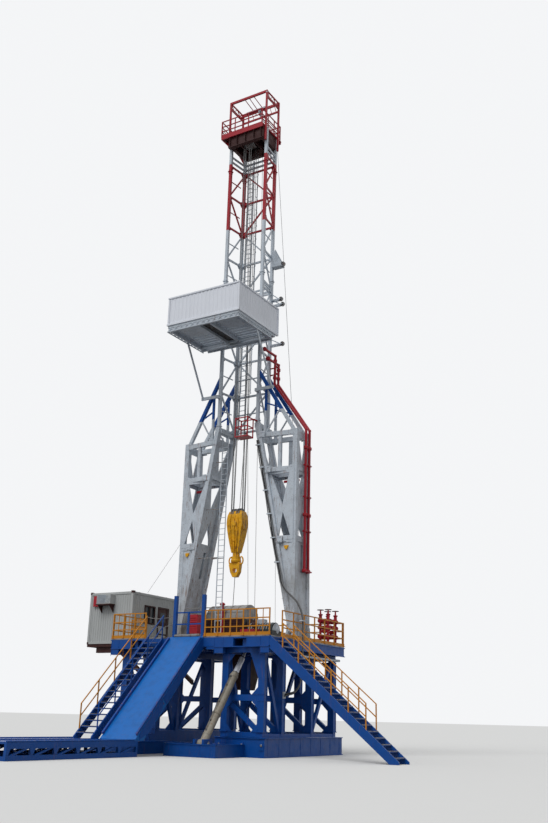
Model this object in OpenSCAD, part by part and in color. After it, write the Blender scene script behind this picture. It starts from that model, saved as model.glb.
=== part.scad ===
// Land drilling rig, all sizes in mm at full size.
// X runs across the front of the drill floor, the ramp side faces -Y, Z is up.

/* [Drill floor] */
// height of the walking surface above the ground
floor_h = 5170; // [4500:6500]
// half width of the drill floor
floor_hw = 4560; // [4200:5200]
// front edge of the drill floor, in front of the mast
floor_front = 4470; // [4200:5200]
// rear edge of the drill floor, behind the mast
floor_rear = 2900; // [2600:3600]
// thickness of the deck plate
deck_t = 60; // [40:100]
// depth of the beams under the deck
floor_beam = 410; // [300:500]
// height of the guard rails
rail_h = 1200; // [1000:1300]

/* [Substructure] */
// height of the skid bases
base_h = 820; // [600:1000]
// inner side of each side box, from the centre line
box_in = 1850; // [1700:2100]
// outer side of each skid base, from the centre line
box_out = 4440; // [4200:4700]
// outer side of the frames that stand on a base
frame_out = 4080; // [3900:4300]
// distance of the first cross frame in front of the mast
frame_front = 4050; // [3800:4400]
// width of the posts
post_w = 280; // [220:360]
// height of the lowered middle beam
mid_z = 2350; // [2000:2800]
// place of a raising cylinder from the centre line
cyl_x = 2400; // [2300:2700]

/* [Mast] */
// half width of the tower over its front legs
tower_hw = 1330; // [1200:1600]
// half width of the tower over its rear legs
rear_hw = 1160; // [1000:1400]
// front face of the tower legs
tower_front = -880; // [-1100:-800]
// rear face of the tower legs
tower_rear = 580; // [500:900]
// width of a tower leg
leg_w = 160; // [120:200]
// waist above the drill floor, where the tower stands on the lower legs
waist_h = 11430; // [10500:12500]
// open height between the braced part of the tower and the crown platform
lattice_gap = 2000; // [1800:2400]
// number of lattice panels
panel_n = 8; // [6:10]
// half spread of the lower legs over their outer sides
foot_hw = 3600; // [3300:3900]
// width of a post of the lower legs
post_c = 260; // [200:300]
// shoulder beam above the drill floor
shoulder_h = 10900; // [10200:11300]
// middle tie of the lower legs above the drill floor
tie_h = 8780; // [8000:9500]
// top of the plated foot above the drill floor
plated_h = 5200; // [4000:6300]
// Y of the front members of the lower legs
leg_front = -490; // [-600:-400]
// Y of the rear members at the foot
leg_rear = 850; // [750:950]
// Y of the rear posts at the shoulder
shoulder_rear = 620; // [520:700]

/* [Crown] */
// crown platform above the drill floor
crown_h = 30130; // [29500:31000]
// reach of the crown platform to the left
crown_left = 1750; // [1500:2000]
// reach of the crown platform to the right
crown_right = 1250; // [1150:1320]
// depth of the crown girders
girder_h = 840; // [700:900]
// height of the frame over the crown
gin_h = 2500; // [2200:3000]
// outside diameter of the crown sheaves
sheave_d = 860; // [700:880]
// number of crown sheaves
sheave_n = 5; // [5:2:7]
// spacing of the sheaves along their shaft
sheave_w = 130; // [120:140]
// width of the floor frame bars over the crown
gin_bar = 100; // [80:120]

/* [Hoisting] */
// Y place of the well centre line
well_y = -500; // [-520:-460]
// top of the travelling block as pictured
block_top = 11930; // [9500:20000]
// width of the travelling block
block_w = 950; // [850:1050]
// depth of the travelling block
block_d = 640; // [560:720]
// bore of the rotary table
rotary_bore = 520.7; // [444.5:698.5]
// diameter of a wire line
line_d = 34; // [28:45]

/* [Racking board] */
// underside of the racking board above the drill floor
board_h = 16200; // [15000:18000]
// height of its wind walls
board_wall = 1780; // [1500:2200]
// half width of the board
board_hw = 2260; // [2000:2500]
// front edge of the board
board_front = -4570; // [-5000:-4000]
// height of the outriggers above the waist
outrigger_h = 1750; // [1400:2100]

/* [Standpipes] */
// radius of a standpipe
pipe_r = 70; // [50:80]
// foot of the standpipes above the drill floor
pipe_foot = 3530; // [3000:5000]
// clearance of the standpipes beside the lower legs
pipe_gap = 90; // [85:140]

/* [Access] */
// half width of the ramp
ramp_hw = 945; // [800:1100]
// Y of the foot of the ramp
ramp_foot = -8940; // [-9500:-8500]
// height of the catwalk
cat_h = 620; // [500:900]
// length of one catwalk bay
cat_bay = 1200; // [1000:1400]
// number of catwalk bays
cat_n = 6; // [4:6]
// X of the foot of the side stair
stair_foot = 10700; // [10300:11500]
// width of a stair
stair_w = 1060; // [900:1200]
// number of treads in a flight
tread_n = 20; // [16:24]
// gap between the ramp and the left stair
stair_gap = 445; // [300:600]

/* [Drawworks] */
// reach of the drawworks to the left
draw_left = 3000; // [2800:3100]
// reach of the drawworks to the right
draw_right = 1300; // [1000:2000]
// depth of the drawworks
draw_d = 1500; // [1300:1550]
// top of the hood above the drill floor
hood_h = 2180; // [1900:2400]

/* [Doghouse] */
// side next to the drill floor
dog_in = 5560; // [5300:5800]
// width
dog_w = 2940; // [2500:3000]
// length
dog_l = 6000; // [5000:7000]
// height of the cabin
dog_h = 2700; // [2400:2800]
// front face
dog_front = -1880; // [-2200:-1500]
// wall thickness
wall_t = 80; // [60:120]
// width of the cooling unit
unit_w = 950; // [700:1200]
// depth of the cooling unit
unit_d = 420; // [300:500]

/* [Hidden] */
$fn = 0;
$fa = 9;
$fs = 2;
// gap at a seat between two solids that touch
seat = 0.3;
// depth of a rope groove in a sheave
groove = 50;
cat_end = ramp_foot + 200 - cat_bay * cat_n;
x_min = -(dog_in + dog_w);
x_max = stair_foot;
y_min = cat_end;
y_max = dog_front + dog_l;
shift = [-(x_min + x_max) / 2, -(y_min + y_max) / 2, 0];
deck_z = floor_h - deck_t;
beam_z = deck_z - floor_beam;
// foot and head of a raising cylinder, as Y and Z
cyl_foot = [-6180, 520];
cyl_head = [-2920, floor_h - 440];
// levels of the mast
waist_z = floor_h + waist_h;
lattice_h = crown_h - waist_h - lattice_gap;
panel_h = lattice_h / panel_n;
// levels of the level bars above the waist, the last two over the braced part
bar_levels = concat([for (i = [0:panel_n]) i * panel_h], [lattice_h + 330, lattice_h + 660]);
shoulder_z = floor_h + shoulder_h;
tie_z = floor_h + tie_h;
plated_z = floor_h + plated_h;
crown_z = floor_h + crown_h;
gin_top = crown_z + gin_h;
board_z = floor_h + board_h;
shaft_z = crown_z - 430;
grey = [0.62, 0.67, 0.72];
blue = [0.08, 0.24, 0.58];
ramp_blue = [0.08, 0.4, 0.8];
orange = [0.78, 0.42, 0.1];
red = [0.6, 0.12, 0.14];
dark = [0.15, 0.14, 0.15];
yellow = [0.85, 0.58, 0.06];
steel = [0.55, 0.55, 0.55];

// a straight bar from a to b, w wide in the plane of its slope and t thick
module strut(a, b, w, t) {
  d = b - a;
  l = norm(d);
  translate(a)
    rotate([0, acos(d[2] / l), atan2(d[1], d[0])])
      translate([-w / 2, -t / 2, 0])
        cube([w, t, l]);
}

// a round pipe from a to b
module pipe(a, b, r) {
  d = b - a;
  l = norm(d);
  translate(a)
    rotate([0, acos(d[2] / l), atan2(d[1], d[0])])
      cylinder(h = l, r = r);
}

// a box given by its low corner and its high corner
module span(a, b) {
  translate(a) cube(b - a);
}

// what is drawn on the right is also drawn on the left
module both() {
  children();
  mirror([1, 0, 0]) children();
}

// guard rail panel along a line at one level, with posts, three rails and a toe board
module guard(a, b, n, h) {
  d = b - a;
  u = d / norm(d);
  for (i = [0:n]) {
    foot = a + u * 25 + (d - u * 50) * i / n;
    strut(foot, foot + [0, 0, h], 50, 50);
  }
  for (k = [0.36, 0.66, 1])
    strut(a + [0, 0, h * k - 25], b + [0, 0, h * k - 25], 50, 50);
  strut(a + [0, 0, 75], b + [0, 0, 75], 150, 12);
}

module base_box() {
  bay = (floor_front + floor_rear - 300) / 4;
  for (x = [box_in, box_out - 300])
    span([x, -floor_front, 0], [x + 300, floor_rear, base_h]);
  for (i = [0:4])
    span([box_in, -floor_front + i * bay, 0], [box_out, -floor_front + i * bay + 300, base_h - 60]);
  // open shoe that carries the foot of the raising cylinder
  difference() {
    span([730, -6700, 0], [3420, -floor_front, 520]);
    span([900, -6550, 80], [3250, -floor_front - 150, 521]);
  }
  for (x = [cyl_x - 280, cyl_x + 180])
    span([x, cyl_foot[0] - 330, 70], [x + 100, cyl_foot[0] + 330, cyl_foot[1] + 200]);
}
module base_right() { color(blue) base_box(); }
module base_left() { color(blue) mirror([1, 0, 0]) base_box(); }

module cross_beams() {
  color(blue)
    for (y = [-floor_front + 150, floor_rear - 550])
      span([-box_in, y, 120], [box_in, y + 300, 520]);
}

module frame_box() {
  z1 = base_h;
  z2 = beam_z;
  w = post_w;
  ys = [-frame_front, -2450, 300, floor_rear - w];
  for (x = [box_in, frame_out - w], y = ys)
    span([x, y, z1], [x + w, y + w, z2]);
  for (y = ys) {
    span([box_in, y + 10, z1], [frame_out, y + w - 10, z1 + 210]);
    span([box_in, y + 10, mid_z], [frame_out, y + w - 10, mid_z + 270]);
    span([box_in, y + 10, z2 - 250], [frame_out, y + w - 10, z2]);
    strut([box_in + w, y + w / 2, mid_z], [frame_out - w, y + w / 2, z1 + 210], 200, 160);
  }
  for (x = [box_in + w / 2, frame_out - w / 2]) {
    span([x - 130, -frame_front, z2 - 250], [x + 130, floor_rear, z2]);
    span([x - 130, -frame_front, z1], [x + 130, floor_rear, z1 + 150]);
    strut([x, -frame_front + w, z2 - 500], [x, ys[1], z1 + 150], 180, 140);
    strut([x, ys[2] + w, z1 + 150], [x, floor_rear - w, z2 - 250], 180, 140);
  }
  // gusset under the floor corner
  translate([0, -frame_front + 60, 0])
    rotate([90, 0, 0])
      linear_extrude(40)
        polygon([[frame_out - w - 520, z2 - 200], [frame_out - w + 10, z2 - 200],
          [frame_out - w + 10, z2 - 1500]]);
}
module frame_right() { color(blue) frame_box(); }
module frame_left() { color(blue) mirror([1, 0, 0]) frame_box(); }

module floor_beams() {
  xs = [-floor_hw + 180, -3040, -box_in + 60, -420, 600, box_in + 160, 3240];
  xe = [-3240, -box_in - 160, -600, 420, box_in - 60, 3040, floor_hw - 180];
  ys = [-floor_front + 200, -2600, -1700, 700];
  ye = [-2780, -1880, 500, floor_rear - 200];
  color(blue) {
    difference() {
      span([-floor_hw, -floor_front, beam_z], [floor_hw, floor_rear, deck_z]);
      for (i = [0:6], j = [0:3])
        span([xs[i], ys[j], beam_z - 1], [xe[i], ye[j], deck_z + 1]);
      // slots in the front beam over the raising cylinders
      for (x = [-3350, 2640])
        span([x, -floor_front - 1, beam_z - 1], [x + 710, -floor_front + 201, deck_z - 60]);
    }
    both() {
      // corner blocks and haunches of the front beam
      for (x = [box_in - 250, floor_hw - 480])
        span([x, -floor_front, beam_z - 300], [x + 480, -floor_front + 260, beam_z + 10]);
      span([box_in - 700, -floor_front + 20, beam_z - 120], [box_in - 200, -floor_front + 180, beam_z + 10]);
      // lugs that hold the rods of the raising cylinders
      for (x = [cyl_x - 145, cyl_x + 105])
        span([x, cyl_head[0] - 160, cyl_head[1] - 160], [x + 40, -2770, deck_z]);
    }
  }
}

module deck() {
  color(steel)
    difference() {
      span([-floor_hw, -floor_front, deck_z], [floor_hw, floor_rear, floor_h]);
      translate([0, well_y, deck_z - 1]) cylinder(h = deck_t + 2, r = 420);
    }
}

module rotary_table() {
  color(dark)
    translate([0, well_y, floor_h])
      difference() {
        union() {
          translate([-680, -700, 0]) cube([1360, 1700, 90]);
          cylinder(h = 150, r = 640);
        }
        translate([0, 0, -1]) cylinder(h = 152, r = rotary_bore / 2);
      }
}

module ramp() {
  h = floor_h;
  color(ramp_blue)
    difference() {
      rotate([90, 0, 90])
        translate([0, 0, -ramp_hw])
          linear_extrude(2 * ramp_hw)
            polygon([[-floor_front, h], [-floor_front, h - 620], [ramp_foot + 560, cat_h],
              [ramp_foot, cat_h], [ramp_foot, cat_h + 40]]);
      // open space between the ribs under the plate
      for (x = [-ramp_hw + 60, 40])
        rotate([90, 0, 90])
          translate([0, 0, x])
            linear_extrude(ramp_hw - 100)
              polygon([[-floor_front - 120, h - 210], [-floor_front - 120, h - 900],
                [ramp_foot + 600, cat_h - 60], [ramp_foot + 330, cat_h + 110]]);
    }
}

module v_door_gate() {
  color(blue) {
    for (x = [-850, 790])
      span([x, -floor_front, floor_h], [x + 160, -floor_front + 160, floor_h + 1930]);
    for (z = [560, 1100])
      span([-691, -floor_front + 50, floor_h + z], [791, -floor_front + 110, floor_h + z + 60]);
    span([-40, -floor_front + 40, floor_h], [60, -floor_front + 120, floor_h + 1160]);
  }
}

module catwalk() {
  x1 = -2600;
  x2 = 950;
  y1 = cat_end;
  y2 = ramp_foot + 200;
  color(blue) {
    span([x1, y1, cat_h - 60], [x2, y2, cat_h]);
    for (x = [x1, x2 - 120, -885])
      for (z = [0, cat_h - 220])
        span([x, y1, z], [x + 120, y2, z + 180]);
    for (x = [x1, x2 - 120, -885], i = [0:cat_n]) {
      y = min(y2 - 100, y1 + i * cat_bay);
      span([x, y, 0], [x + 120, y + 100, cat_h]);
      if (i < cat_n)
        strut([x + 60, y + 100, 120], [x + 60, y + cat_bay, cat_h - 160], 70, 80);
    }
    for (i = [0:cat_n])
      span([x1, min(y2 - 100, y1 + i * cat_bay), 0], [x2, min(y2, y1 + i * cat_bay + 100), 150]);
  }
}

// one stringer of a flight in the XZ plane, going down along +X
module stringer(top, foot_x, foot_z, t) {
  rotate([90, 0, 0])
    linear_extrude(t)
      polygon([[top[0], top[1]], [top[0], top[1] - 560], [foot_x - 420, foot_z], [foot_x, foot_z],
        [foot_x, foot_z + 90]]);
}

// treads of a flight in the XZ plane
module treads(x0, z0, x1, z1, n, w) {
  for (i = [1:n]) {
    x = x0 + (x1 - x0) * i / (n + 1);
    z = z0 + (z1 - z0) * i / (n + 1);
    span([x - 150, 60 + seat, z - 40], [x + 120, w - 60 - seat, z]);
  }
}

// handrail of a flight in the XZ plane with posts and two rails
module stair_rail(x0, z0, x1, z1, n, h) {
  s = (z1 - z0) / (x1 - x0);
  rotate([90, 0, 0])
    translate([0, 0, -45])
      linear_extrude(45) {
        for (i = [0:n]) {
          x = x0 + (x1 - 45 - x0) * i / n;
          z = z0 + s * (x - x0);
          polygon([[x, z], [x + 45, z + s * 45], [x + 45, z + s * 45 + h], [x, z + h]]);
        }
        for (k = [0.5, 1])
          polygon([[x0, z0 + h * k - 50], [x1, z1 + h * k - 50], [x1, z1 + h * k], [x0, z0 + h * k]]);
      }
}

// the right flight runs down along +X beside the front edge
module place_right() {
  translate([floor_hw, -floor_front, 0]) children();
}
module stair_right() {
  l = stair_foot - floor_hw;
  color(blue)
    place_right() {
      for (y = [60, stair_w])
        translate([0, y, 0])
          stringer([0, floor_h], l, 0, 60);
      treads(0, floor_h - 30, l, 0, tread_n, stair_w);
    }
}
module handrails_right() {
  l = stair_foot - floor_hw;
  s = (floor_h - 90) / l;
  e = 5100 * l / 6640;
  color(orange)
    place_right()
      for (y = [7, stair_w - 52])
        translate([0, y, 0])
          stair_rail(650, floor_h - s * 650 + 1, e, floor_h - s * e + 1, 5, 1050);
}

// the left flight runs down along -Y beside the ramp
module place_left() {
  translate([-ramp_hw - stair_gap - stair_w, -floor_front, 0]) rotate([0, 0, -90]) children();
}
module stair_left() {
  l = -floor_front - ramp_foot;
  color(blue)
    place_left() {
      for (y = [60, stair_w])
        translate([0, y, 0])
          stringer([0, floor_h], l, cat_h, 60);
      treads(0, floor_h - 30, l, cat_h, tread_n - 3, stair_w);
    }
}
module handrails_left() {
  l = -floor_front - ramp_foot;
  s = (floor_h - cat_h - 90) / l;
  color(orange)
    place_left()
      for (y = [7, stair_w - 52])
        translate([0, y, 0])
          stair_rail(10, floor_h - s * 10 + 1, l - 300, floor_h - s * (l - 300) + 1, 4, 1050);
}

module railing_front() {
  y = -floor_front + 25;
  color(orange) {
    guard([-floor_hw, y, floor_h], [-ramp_hw - stair_gap - stair_w - 50, y, floor_h], 3, rail_h);
    guard([ramp_hw + 55, y, floor_h], [floor_hw, y, floor_h], 5, rail_h);
  }
}
module railing_right() {
  x = floor_hw - 25;
  color(orange)
    guard([x, -floor_front + stair_w + 60, floor_h], [x, floor_rear, floor_h], 6, rail_h);
}
module railing_rear() {
  y = floor_rear - 25;
  color(orange)
    guard([-floor_hw, y, floor_h], [floor_hw - 60, y, floor_h], 9, rail_h);
}
module railing_left() {
  x = -floor_hw + 25;
  y = dog_front + 25;
  color(orange) {
    guard([x, -floor_front + 50, floor_h], [x, dog_front, floor_h], 3, rail_h);
    guard([-dog_in, y, floor_h], [x + 25, y, floor_h], 1, rail_h);
  }
}

module doghouse_base() {
  z = floor_h;
  color(dark)
    difference() {
      span([-dog_in - dog_w, dog_front, z - 150], [-dog_in, dog_front + dog_l, z]);
      for (i = [0:4])
        span([-dog_in - dog_w + 120, dog_front + 120 + i * 1160, z - 151],
          [-dog_in - 120, dog_front + 1160 + i * 1160, z - 40]);
      translate([-dog_in - 32, dog_front + 2300, z - 30]) cylinder(h = 31, r = 12.08);
    }
  color(blue) {
    // walkway between the cabin and the drill floor
    span([-dog_in, dog_front, z - 60], [-floor_hw, floor_rear, z]);
    for (y = [dog_front + 150, floor_rear - 650]) {
      span([-dog_in - 2400, y, z - 450], [-floor_hw, y + 220, z - 150]);
      span([-dog_in, y, z - 200], [-floor_hw, y + 220, z - 60]);
      intersection() {
        strut([-dog_in - 700, y + 110, z - 440], [-box_out + 100, y + 110, 3300], 200, 180);
        span([-dog_in - dog_w, y, 2800], [-box_out, y + 220, z - 200]);
      }
    }
  }
}

module doghouse_walls() {
  x1 = -dog_in - dog_w;
  x2 = -dog_in;
  y1 = dog_front;
  y2 = dog_front + dog_l;
  z1 = floor_h;
  z2 = z1 + dog_h - 100;
  t = wall_t;
  color(grey)
    difference() {
      span([x1, y1, z1], [x2, y2, z2]);
      span([x1 + t, y1 + t, z1 - 1], [x2 - t, y2 - t, z2 + 1]);
      // doorway and two windows towards the floor
      span([x2 - t - 1, y1 + 2250, z1 - 1], [x2 + 1, y1 + 3100, z1 + 2050]);
      span([x2 - t - 1, y1 + 1050, z1 + 1150], [x2 + 1, y1 + 1900, z1 + 2050]);
      span([x2 - t - 1, y1 + 3900, z1 + 1150], [x2 + 1, y1 + 4900, z1 + 2050]);
      translate([x2 - 32, y1 + 2300, z1 + 2049]) cylinder(h = 31, r = 12.08);
    }
}
module doghouse_roof() {
  z = floor_h + dog_h - 100;
  color(grey)
    span([-dog_in - dog_w, dog_front, z], [-dog_in, dog_front + dog_l, z + 100]);
}
module doghouse_door() {
  y = dog_front + 2250;
  z = floor_h;
  color(dark) {
    span([-dog_in - 55, y + 12, z + 6], [-dog_in - 10, y + 844, z + 2044]);
    span([-dog_in - 12, y + 740, z + 980], [-dog_in + 40, y + 770, z + 1120]);
    translate([-dog_in - 32, y + 50, z - 25]) cylinder(h = 2095, r = 12);
  }
}
module cooling_unit() {
  color([0.8, 0.8, 0.78])
    span([-dog_in - 1200 - unit_w, dog_front - unit_d, floor_h + 2050],
      [-dog_in - 1200, dog_front, floor_h + 2560]);
}

module drawworks() {
  z = floor_h;
  y = floor_rear - draw_d - 250;
  ym = y + draw_d / 2;
  r = draw_d / 2 - 15;
  xl = -draw_left + 100;
  xm = -draw_left + 2500;
  color([0.45, 0.45, 0.45]) {
    span([-draw_left, y, z], [draw_right, y + draw_d, z + 250]);
    // drum housing under a round hood
    span([xl, y, z + 240], [xm, y + draw_d, z + hood_h - r]);
    translate([xl, ym, z + hood_h - r]) rotate([0, 90, 0]) cylinder(h = xm - xl, r = r);
    // motor and gearbox
    span([xm - 10, ym - 560, z + 240], [draw_right - 120, ym + 560, z + 800]);
    translate([xm - 10, ym, z + 790]) rotate([0, 90, 0]) cylinder(h = draw_right - 220 - xm, r = 440);
  }
}

module manifold() {
  z = floor_h;
  x1 = floor_hw - 760;
  x2 = floor_hw - 320;
  color(red) {
    span([x1 - 80, 1650, z], [x2 + 80, 2650, z + 60]);
    for (x = [x1, x2], y = [1750, 2550])
      translate([x, y, z + 50]) cylinder(h = 1200, r = 65);
    for (x = [x1, x2], k = [450, 900, 1220])
      translate([x, 1650, z + k]) rotate([-90, 0, 0]) cylinder(h = 1000, r = 75);
    for (y = [1750, 2550], k = [700, 1220])
      translate([x1, y, z + k]) rotate([0, 90, 0]) cylinder(h = x2 - x1, r = 60);
  }
}

module cylinder_body() {
  a = [cyl_x, cyl_foot[0], cyl_foot[1]];
  b = [cyl_x, cyl_head[0], cyl_head[1]];
  u = (b - a) / norm(b - a);
  color([0.55, 0.53, 0.48]) {
    pipe(a, a + u * 3780, 175);
    pipe(a + u * 1500, a + u * 1600, 200);
    translate(a - [179.7, 0, 0]) rotate([0, 90, 0]) cylinder(h = 359.4, r = 190);
  }
  color([0.8, 0.8, 0.8]) {
    pipe(a + u * 3700, a + u * 4700, 130);
    pipe(a + u * 4650, b, 75);
    translate(b - [104.7, 0, 0]) rotate([0, 90, 0]) cylinder(h = 209.4, r = 110);
  }
}
module cylinder_right() { cylinder_body(); }
module cylinder_left() { mirror([1, 0, 0]) cylinder_body(); }

// X and Y of the members of the lower leg at level z, front is 0 and rear is 1
function mix(a, b, t) = a + (b - a) * t;
function lean_t(z) = (z - floor_h - 200) / (waist_z - floor_h - 180);
function lean_x(k, z) = mix(foot_hw - 150, [tower_hw, rear_hw][k] - leg_w / 2, lean_t(z));
function lean_y(k, z) =
  mix([leg_front, leg_rear][k], [tower_front + leg_w / 2, tower_rear - leg_w / 2][k], lean_t(z));
function post_y(k, z) = k == 0 ? leg_front : mix(leg_rear, shoulder_rear, (z - floor_h) / shoulder_h);

// triangular opening between two edges a and b, given as [value at z1, value at z2],
// with its base at z1 and its tip at z2
function opening(a, b, z1, z2) =
  [[mix(a[0], b[0], 0.17), z1], [mix(a[0], b[0], 0.83), z1], [mix(a[1], b[1], 0.5), z2]];

// front or rear face of the lower leg, a web plate between the post and the leaning member
module leg_face(k) {
  xo = foot_hw - post_c / 2;
  zf = floor_h + 300;
  za = plated_z;
  zb = tie_z - 60;
  // plated foot
  translate([0, [-540, 815][k], 0])
    rotate([90, 0, 0])
      linear_extrude(60)
        polygon([[lean_x(k, zf), zf], [xo, zf], [xo, za - 120], [lean_x(k, za - 120), za - 120]]);
  // pierced web above it
  translate([0, [-590, 685][k], 0])
    rotate([90, 0, 0])
      linear_extrude(60)
        difference() {
          polygon([[lean_x(k, za - 150), za - 150], [xo, za - 150], [xo, zb], [lean_x(k, zb), zb]]);
          polygon(opening([lean_x(k, za + 60), lean_x(k, za + 1300)], [xo, xo], za + 60, za + 1300));
          polygon(opening([lean_x(k, zb - 180), lean_x(k, zb - 1850)], [xo, xo], zb - 180, zb - 1850));
        }
  for (z = [plated_z - 130, tie_z])
    strut([xo, post_y(k, z), z], [lean_x(k, z), lean_y(k, z), z], 240, 190);
  // shoulder beam and the post that stands on the middle tie
  z = shoulder_z - 165;
  strut([xo, post_y(k, z), z], [lean_x(k, z), lean_y(k, z), z], 250, 180);
  xm = mix(xo, lean_x(k, tie_z), 0.52);
  ym = mix(post_y(k, tie_z), lean_y(k, tie_z), 0.52);
  span([xm - 90, ym - 70, tie_z], [xm + 90, ym + 70, z]);
}

// outer or leaning side of the lower leg, drawn upright with Y across and its own height s
module leg_side(front, rear, s1, s2, s3) {
  difference() {
    polygon([[front[0], 0], [rear[0], 0], [rear[1], s3], [front[1], s3]]);
    polygon(opening([front[1], front[1]], [rear[1], rear[1]], s3 - 420, s2 + 330));
    polygon(opening([front[1], front[1]], [rear[1], rear[1]], s2 - 260, s2 - 1750));
    polygon(opening([front[0], front[0]], [rear[1], rear[1]], s1 + 80, s1 + 1250));
    translate([mix(front[0], rear[0], 0.5) - 110, s1 - 1750]) square([220, 1400]);
  }
}

// lower leg of the mast, drawn on the right
module mast_leg() {
  z0 = floor_h + 300;
  o = foot_hw;
  c = post_c;
  lean = atan((lean_x(0, z0) - (tower_hw + rear_hw - leg_w) / 2) / (waist_z - z0));
  cs = cos(lean);
  // outer posts, the rear one leaning a little
  span([o - c, leg_front - c / 2, z0], [o, leg_front + c / 2, shoulder_z]);
  intersection() {
    strut([o - c / 2, leg_rear, floor_h], [o - c / 2, shoulder_rear, shoulder_z + 20], 254, 254);
    span([0, 0, z0], [o, 2000, shoulder_z]);
  }
  for (k = [0, 1]) {
    intersection() {
      strut([lean_x(k, floor_h), lean_y(k, floor_h), floor_h],
        [lean_x(k, waist_z + 40), lean_y(k, waist_z + 40), waist_z + 40], 270, 250);
      span([0, -2000, z0], [o - 12, 2000, waist_z]);
    }
    leg_face(k);
  }
  // outer side
  translate([o - 130, 0, z0])
    rotate([90, 0, 90])
      linear_extrude(60)
        leg_side([leg_front, leg_front], [leg_rear, shoulder_rear],
          plated_z - z0, tie_z - z0, shoulder_z - z0 - 45);
  // leaning side
  translate([lean_x(0, z0), 0, z0])
    rotate([0, -lean, 0])
      translate([-30, 0, 0])
        rotate([90, 0, 90])
          linear_extrude(60)
            leg_side([leg_front, lean_y(0, shoulder_z)], [leg_rear, lean_y(1, shoulder_z)],
              (plated_z - z0) / cs, (tie_z - z0) / cs, (shoulder_z - z0) / cs);
  // cross ties between the front and the rear members
  for (z = [plated_z - 100, tie_z + 30])
    span([o - c + 20, post_y(0, z), z - 120], [o - 20, post_y(1, z), z + 100]);
  for (z = [waist_z - 220, tie_z - 80])
    span([lean_x(1, z) - 70, lean_y(0, z), z], [lean_x(0, z) + 70, lean_y(1, z), z + 170]);
  // foot shoe
  span([o - c - 220, leg_front - 220, floor_h], [o + 60, leg_rear + 220, floor_h + 310]);
}

// braces from the shoulder up to the tower, with a post and lacing under each
module brace_pair() {
  for (k = [0, 1]) {
    a = [foot_hw - 150, [leg_front, shoulder_rear][k], shoulder_z - 190];
    b = [[tower_hw, rear_hw][k] - 60, lean_y(k, waist_z), waist_z + 2950];
    m = mix(a, b, 0.4);
    p = mix(a, b, 0.8);
    q = [p[0], mix(post_y(k, shoulder_z), lean_y(k, shoulder_z), 0.8), shoulder_z - 190];
    intersection() {
      union() {
        strut(a, b, 190, 150);
        strut(q, p, 120, 110);
        strut(q + [0, 0, 90], m, 70, 60);
        strut(m, mix(q, p, 0.62), 70, 60);
      }
      span([[tower_hw, rear_hw][k], -2000, shoulder_z - 500], [foot_hw - 5, 2000, waist_z + 4000]);
    }
  }
}
module mast_leg_right() { color(grey) { mast_leg(); brace_pair(); } }
module mast_leg_left() { color(grey) mirror([1, 0, 0]) { mast_leg(); brace_pair(); } }

// one flat side of the tower, drawn on the right, its rear leg nearer to the middle
module tower_side() {
  p = panel_h;
  f = [tower_hw - leg_w / 2, tower_front + leg_w / 2];
  r = [rear_hw - leg_w / 2, tower_rear - leg_w / 2];
  span([tower_hw - leg_w, tower_front, waist_z], [tower_hw, tower_front + leg_w, crown_z - 60]);
  span([rear_hw - leg_w, tower_rear - leg_w, waist_z], [rear_hw, tower_rear, crown_z - 60]);
  for (z = bar_levels)
    strut([f[0], f[1], waist_z + z + 60], [r[0], r[1], waist_z + z + 60], 100, 80);
  for (i = [0:panel_n - 1]) {
    a = i % 2 == 0 ? r : f;
    b = i % 2 == 0 ? f : r;
    strut([a[0], a[1], waist_z + i * p + 70], [b[0], b[1], waist_z + (i + 1) * p + 50], 84, 70);
  }
}
module tower_right() { color(grey) tower_side(); }
module tower_left() { color(grey) mirror([1, 0, 0]) tower_side(); }

module tower_back() {
  xi = rear_hw - leg_w;
  p = panel_h;
  y = tower_rear - leg_w / 2;
  color(grey)
    intersection() {
      span([-xi, y - 45, waist_z], [xi, y + 45, crown_z - girder_h - 60]);
      union() {
        for (z = bar_levels)
          span([-xi, y - 45, waist_z + z + 10], [xi, y + 45, waist_z + z + 110]);
        for (i = [0:panel_n - 1]) {
          s = i % 2 == 0 ? 1 : -1;
          strut([-xi * s, y, waist_z + i * p + 60], [xi * s, y, waist_z + (i + 1) * p + 60], 84, 70);
        }
      }
    }
}

module crown_beams() {
  z2 = crown_z - 60;
  z1 = z2 - girder_h;
  xi = tower_hw - leg_w;
  yf = well_y - sheave_d / 2 - 20;
  yr = tower_rear - leg_w;
  color(dark)
    difference() {
      union() {
        // front girder in front of the legs and rear girder between them
        span([-tower_hw + 90, yf - 200, z1], [tower_hw - 90, yf, z2]);
        span([-rear_hw + leg_w, yr, z1], [rear_hw - leg_w, tower_rear + 60, z2]);
        // side girders and the plates that carry the sheave shaft
        for (x = [-xi, xi - 210])
          span([x, yf - 10, z1 + 40], [x + 210, yr + 10, z2 - 10]);
        for (x = [-500, 440])
          span([x, yf - 10, z1 + 20], [x + 60, yr + 10, z2 - 20]);
      }
      // the rear legs pass beside the rear girder
      for (x = [-rear_hw, rear_hw - leg_w])
        span([x, yr, z1 - 1], [x + leg_w, tower_rear, z2 + 1]);
      translate([-600, well_y, shaft_z]) rotate([0, 90, 0]) cylinder(h = 1200, r = 60.3);
    }
}

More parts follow.
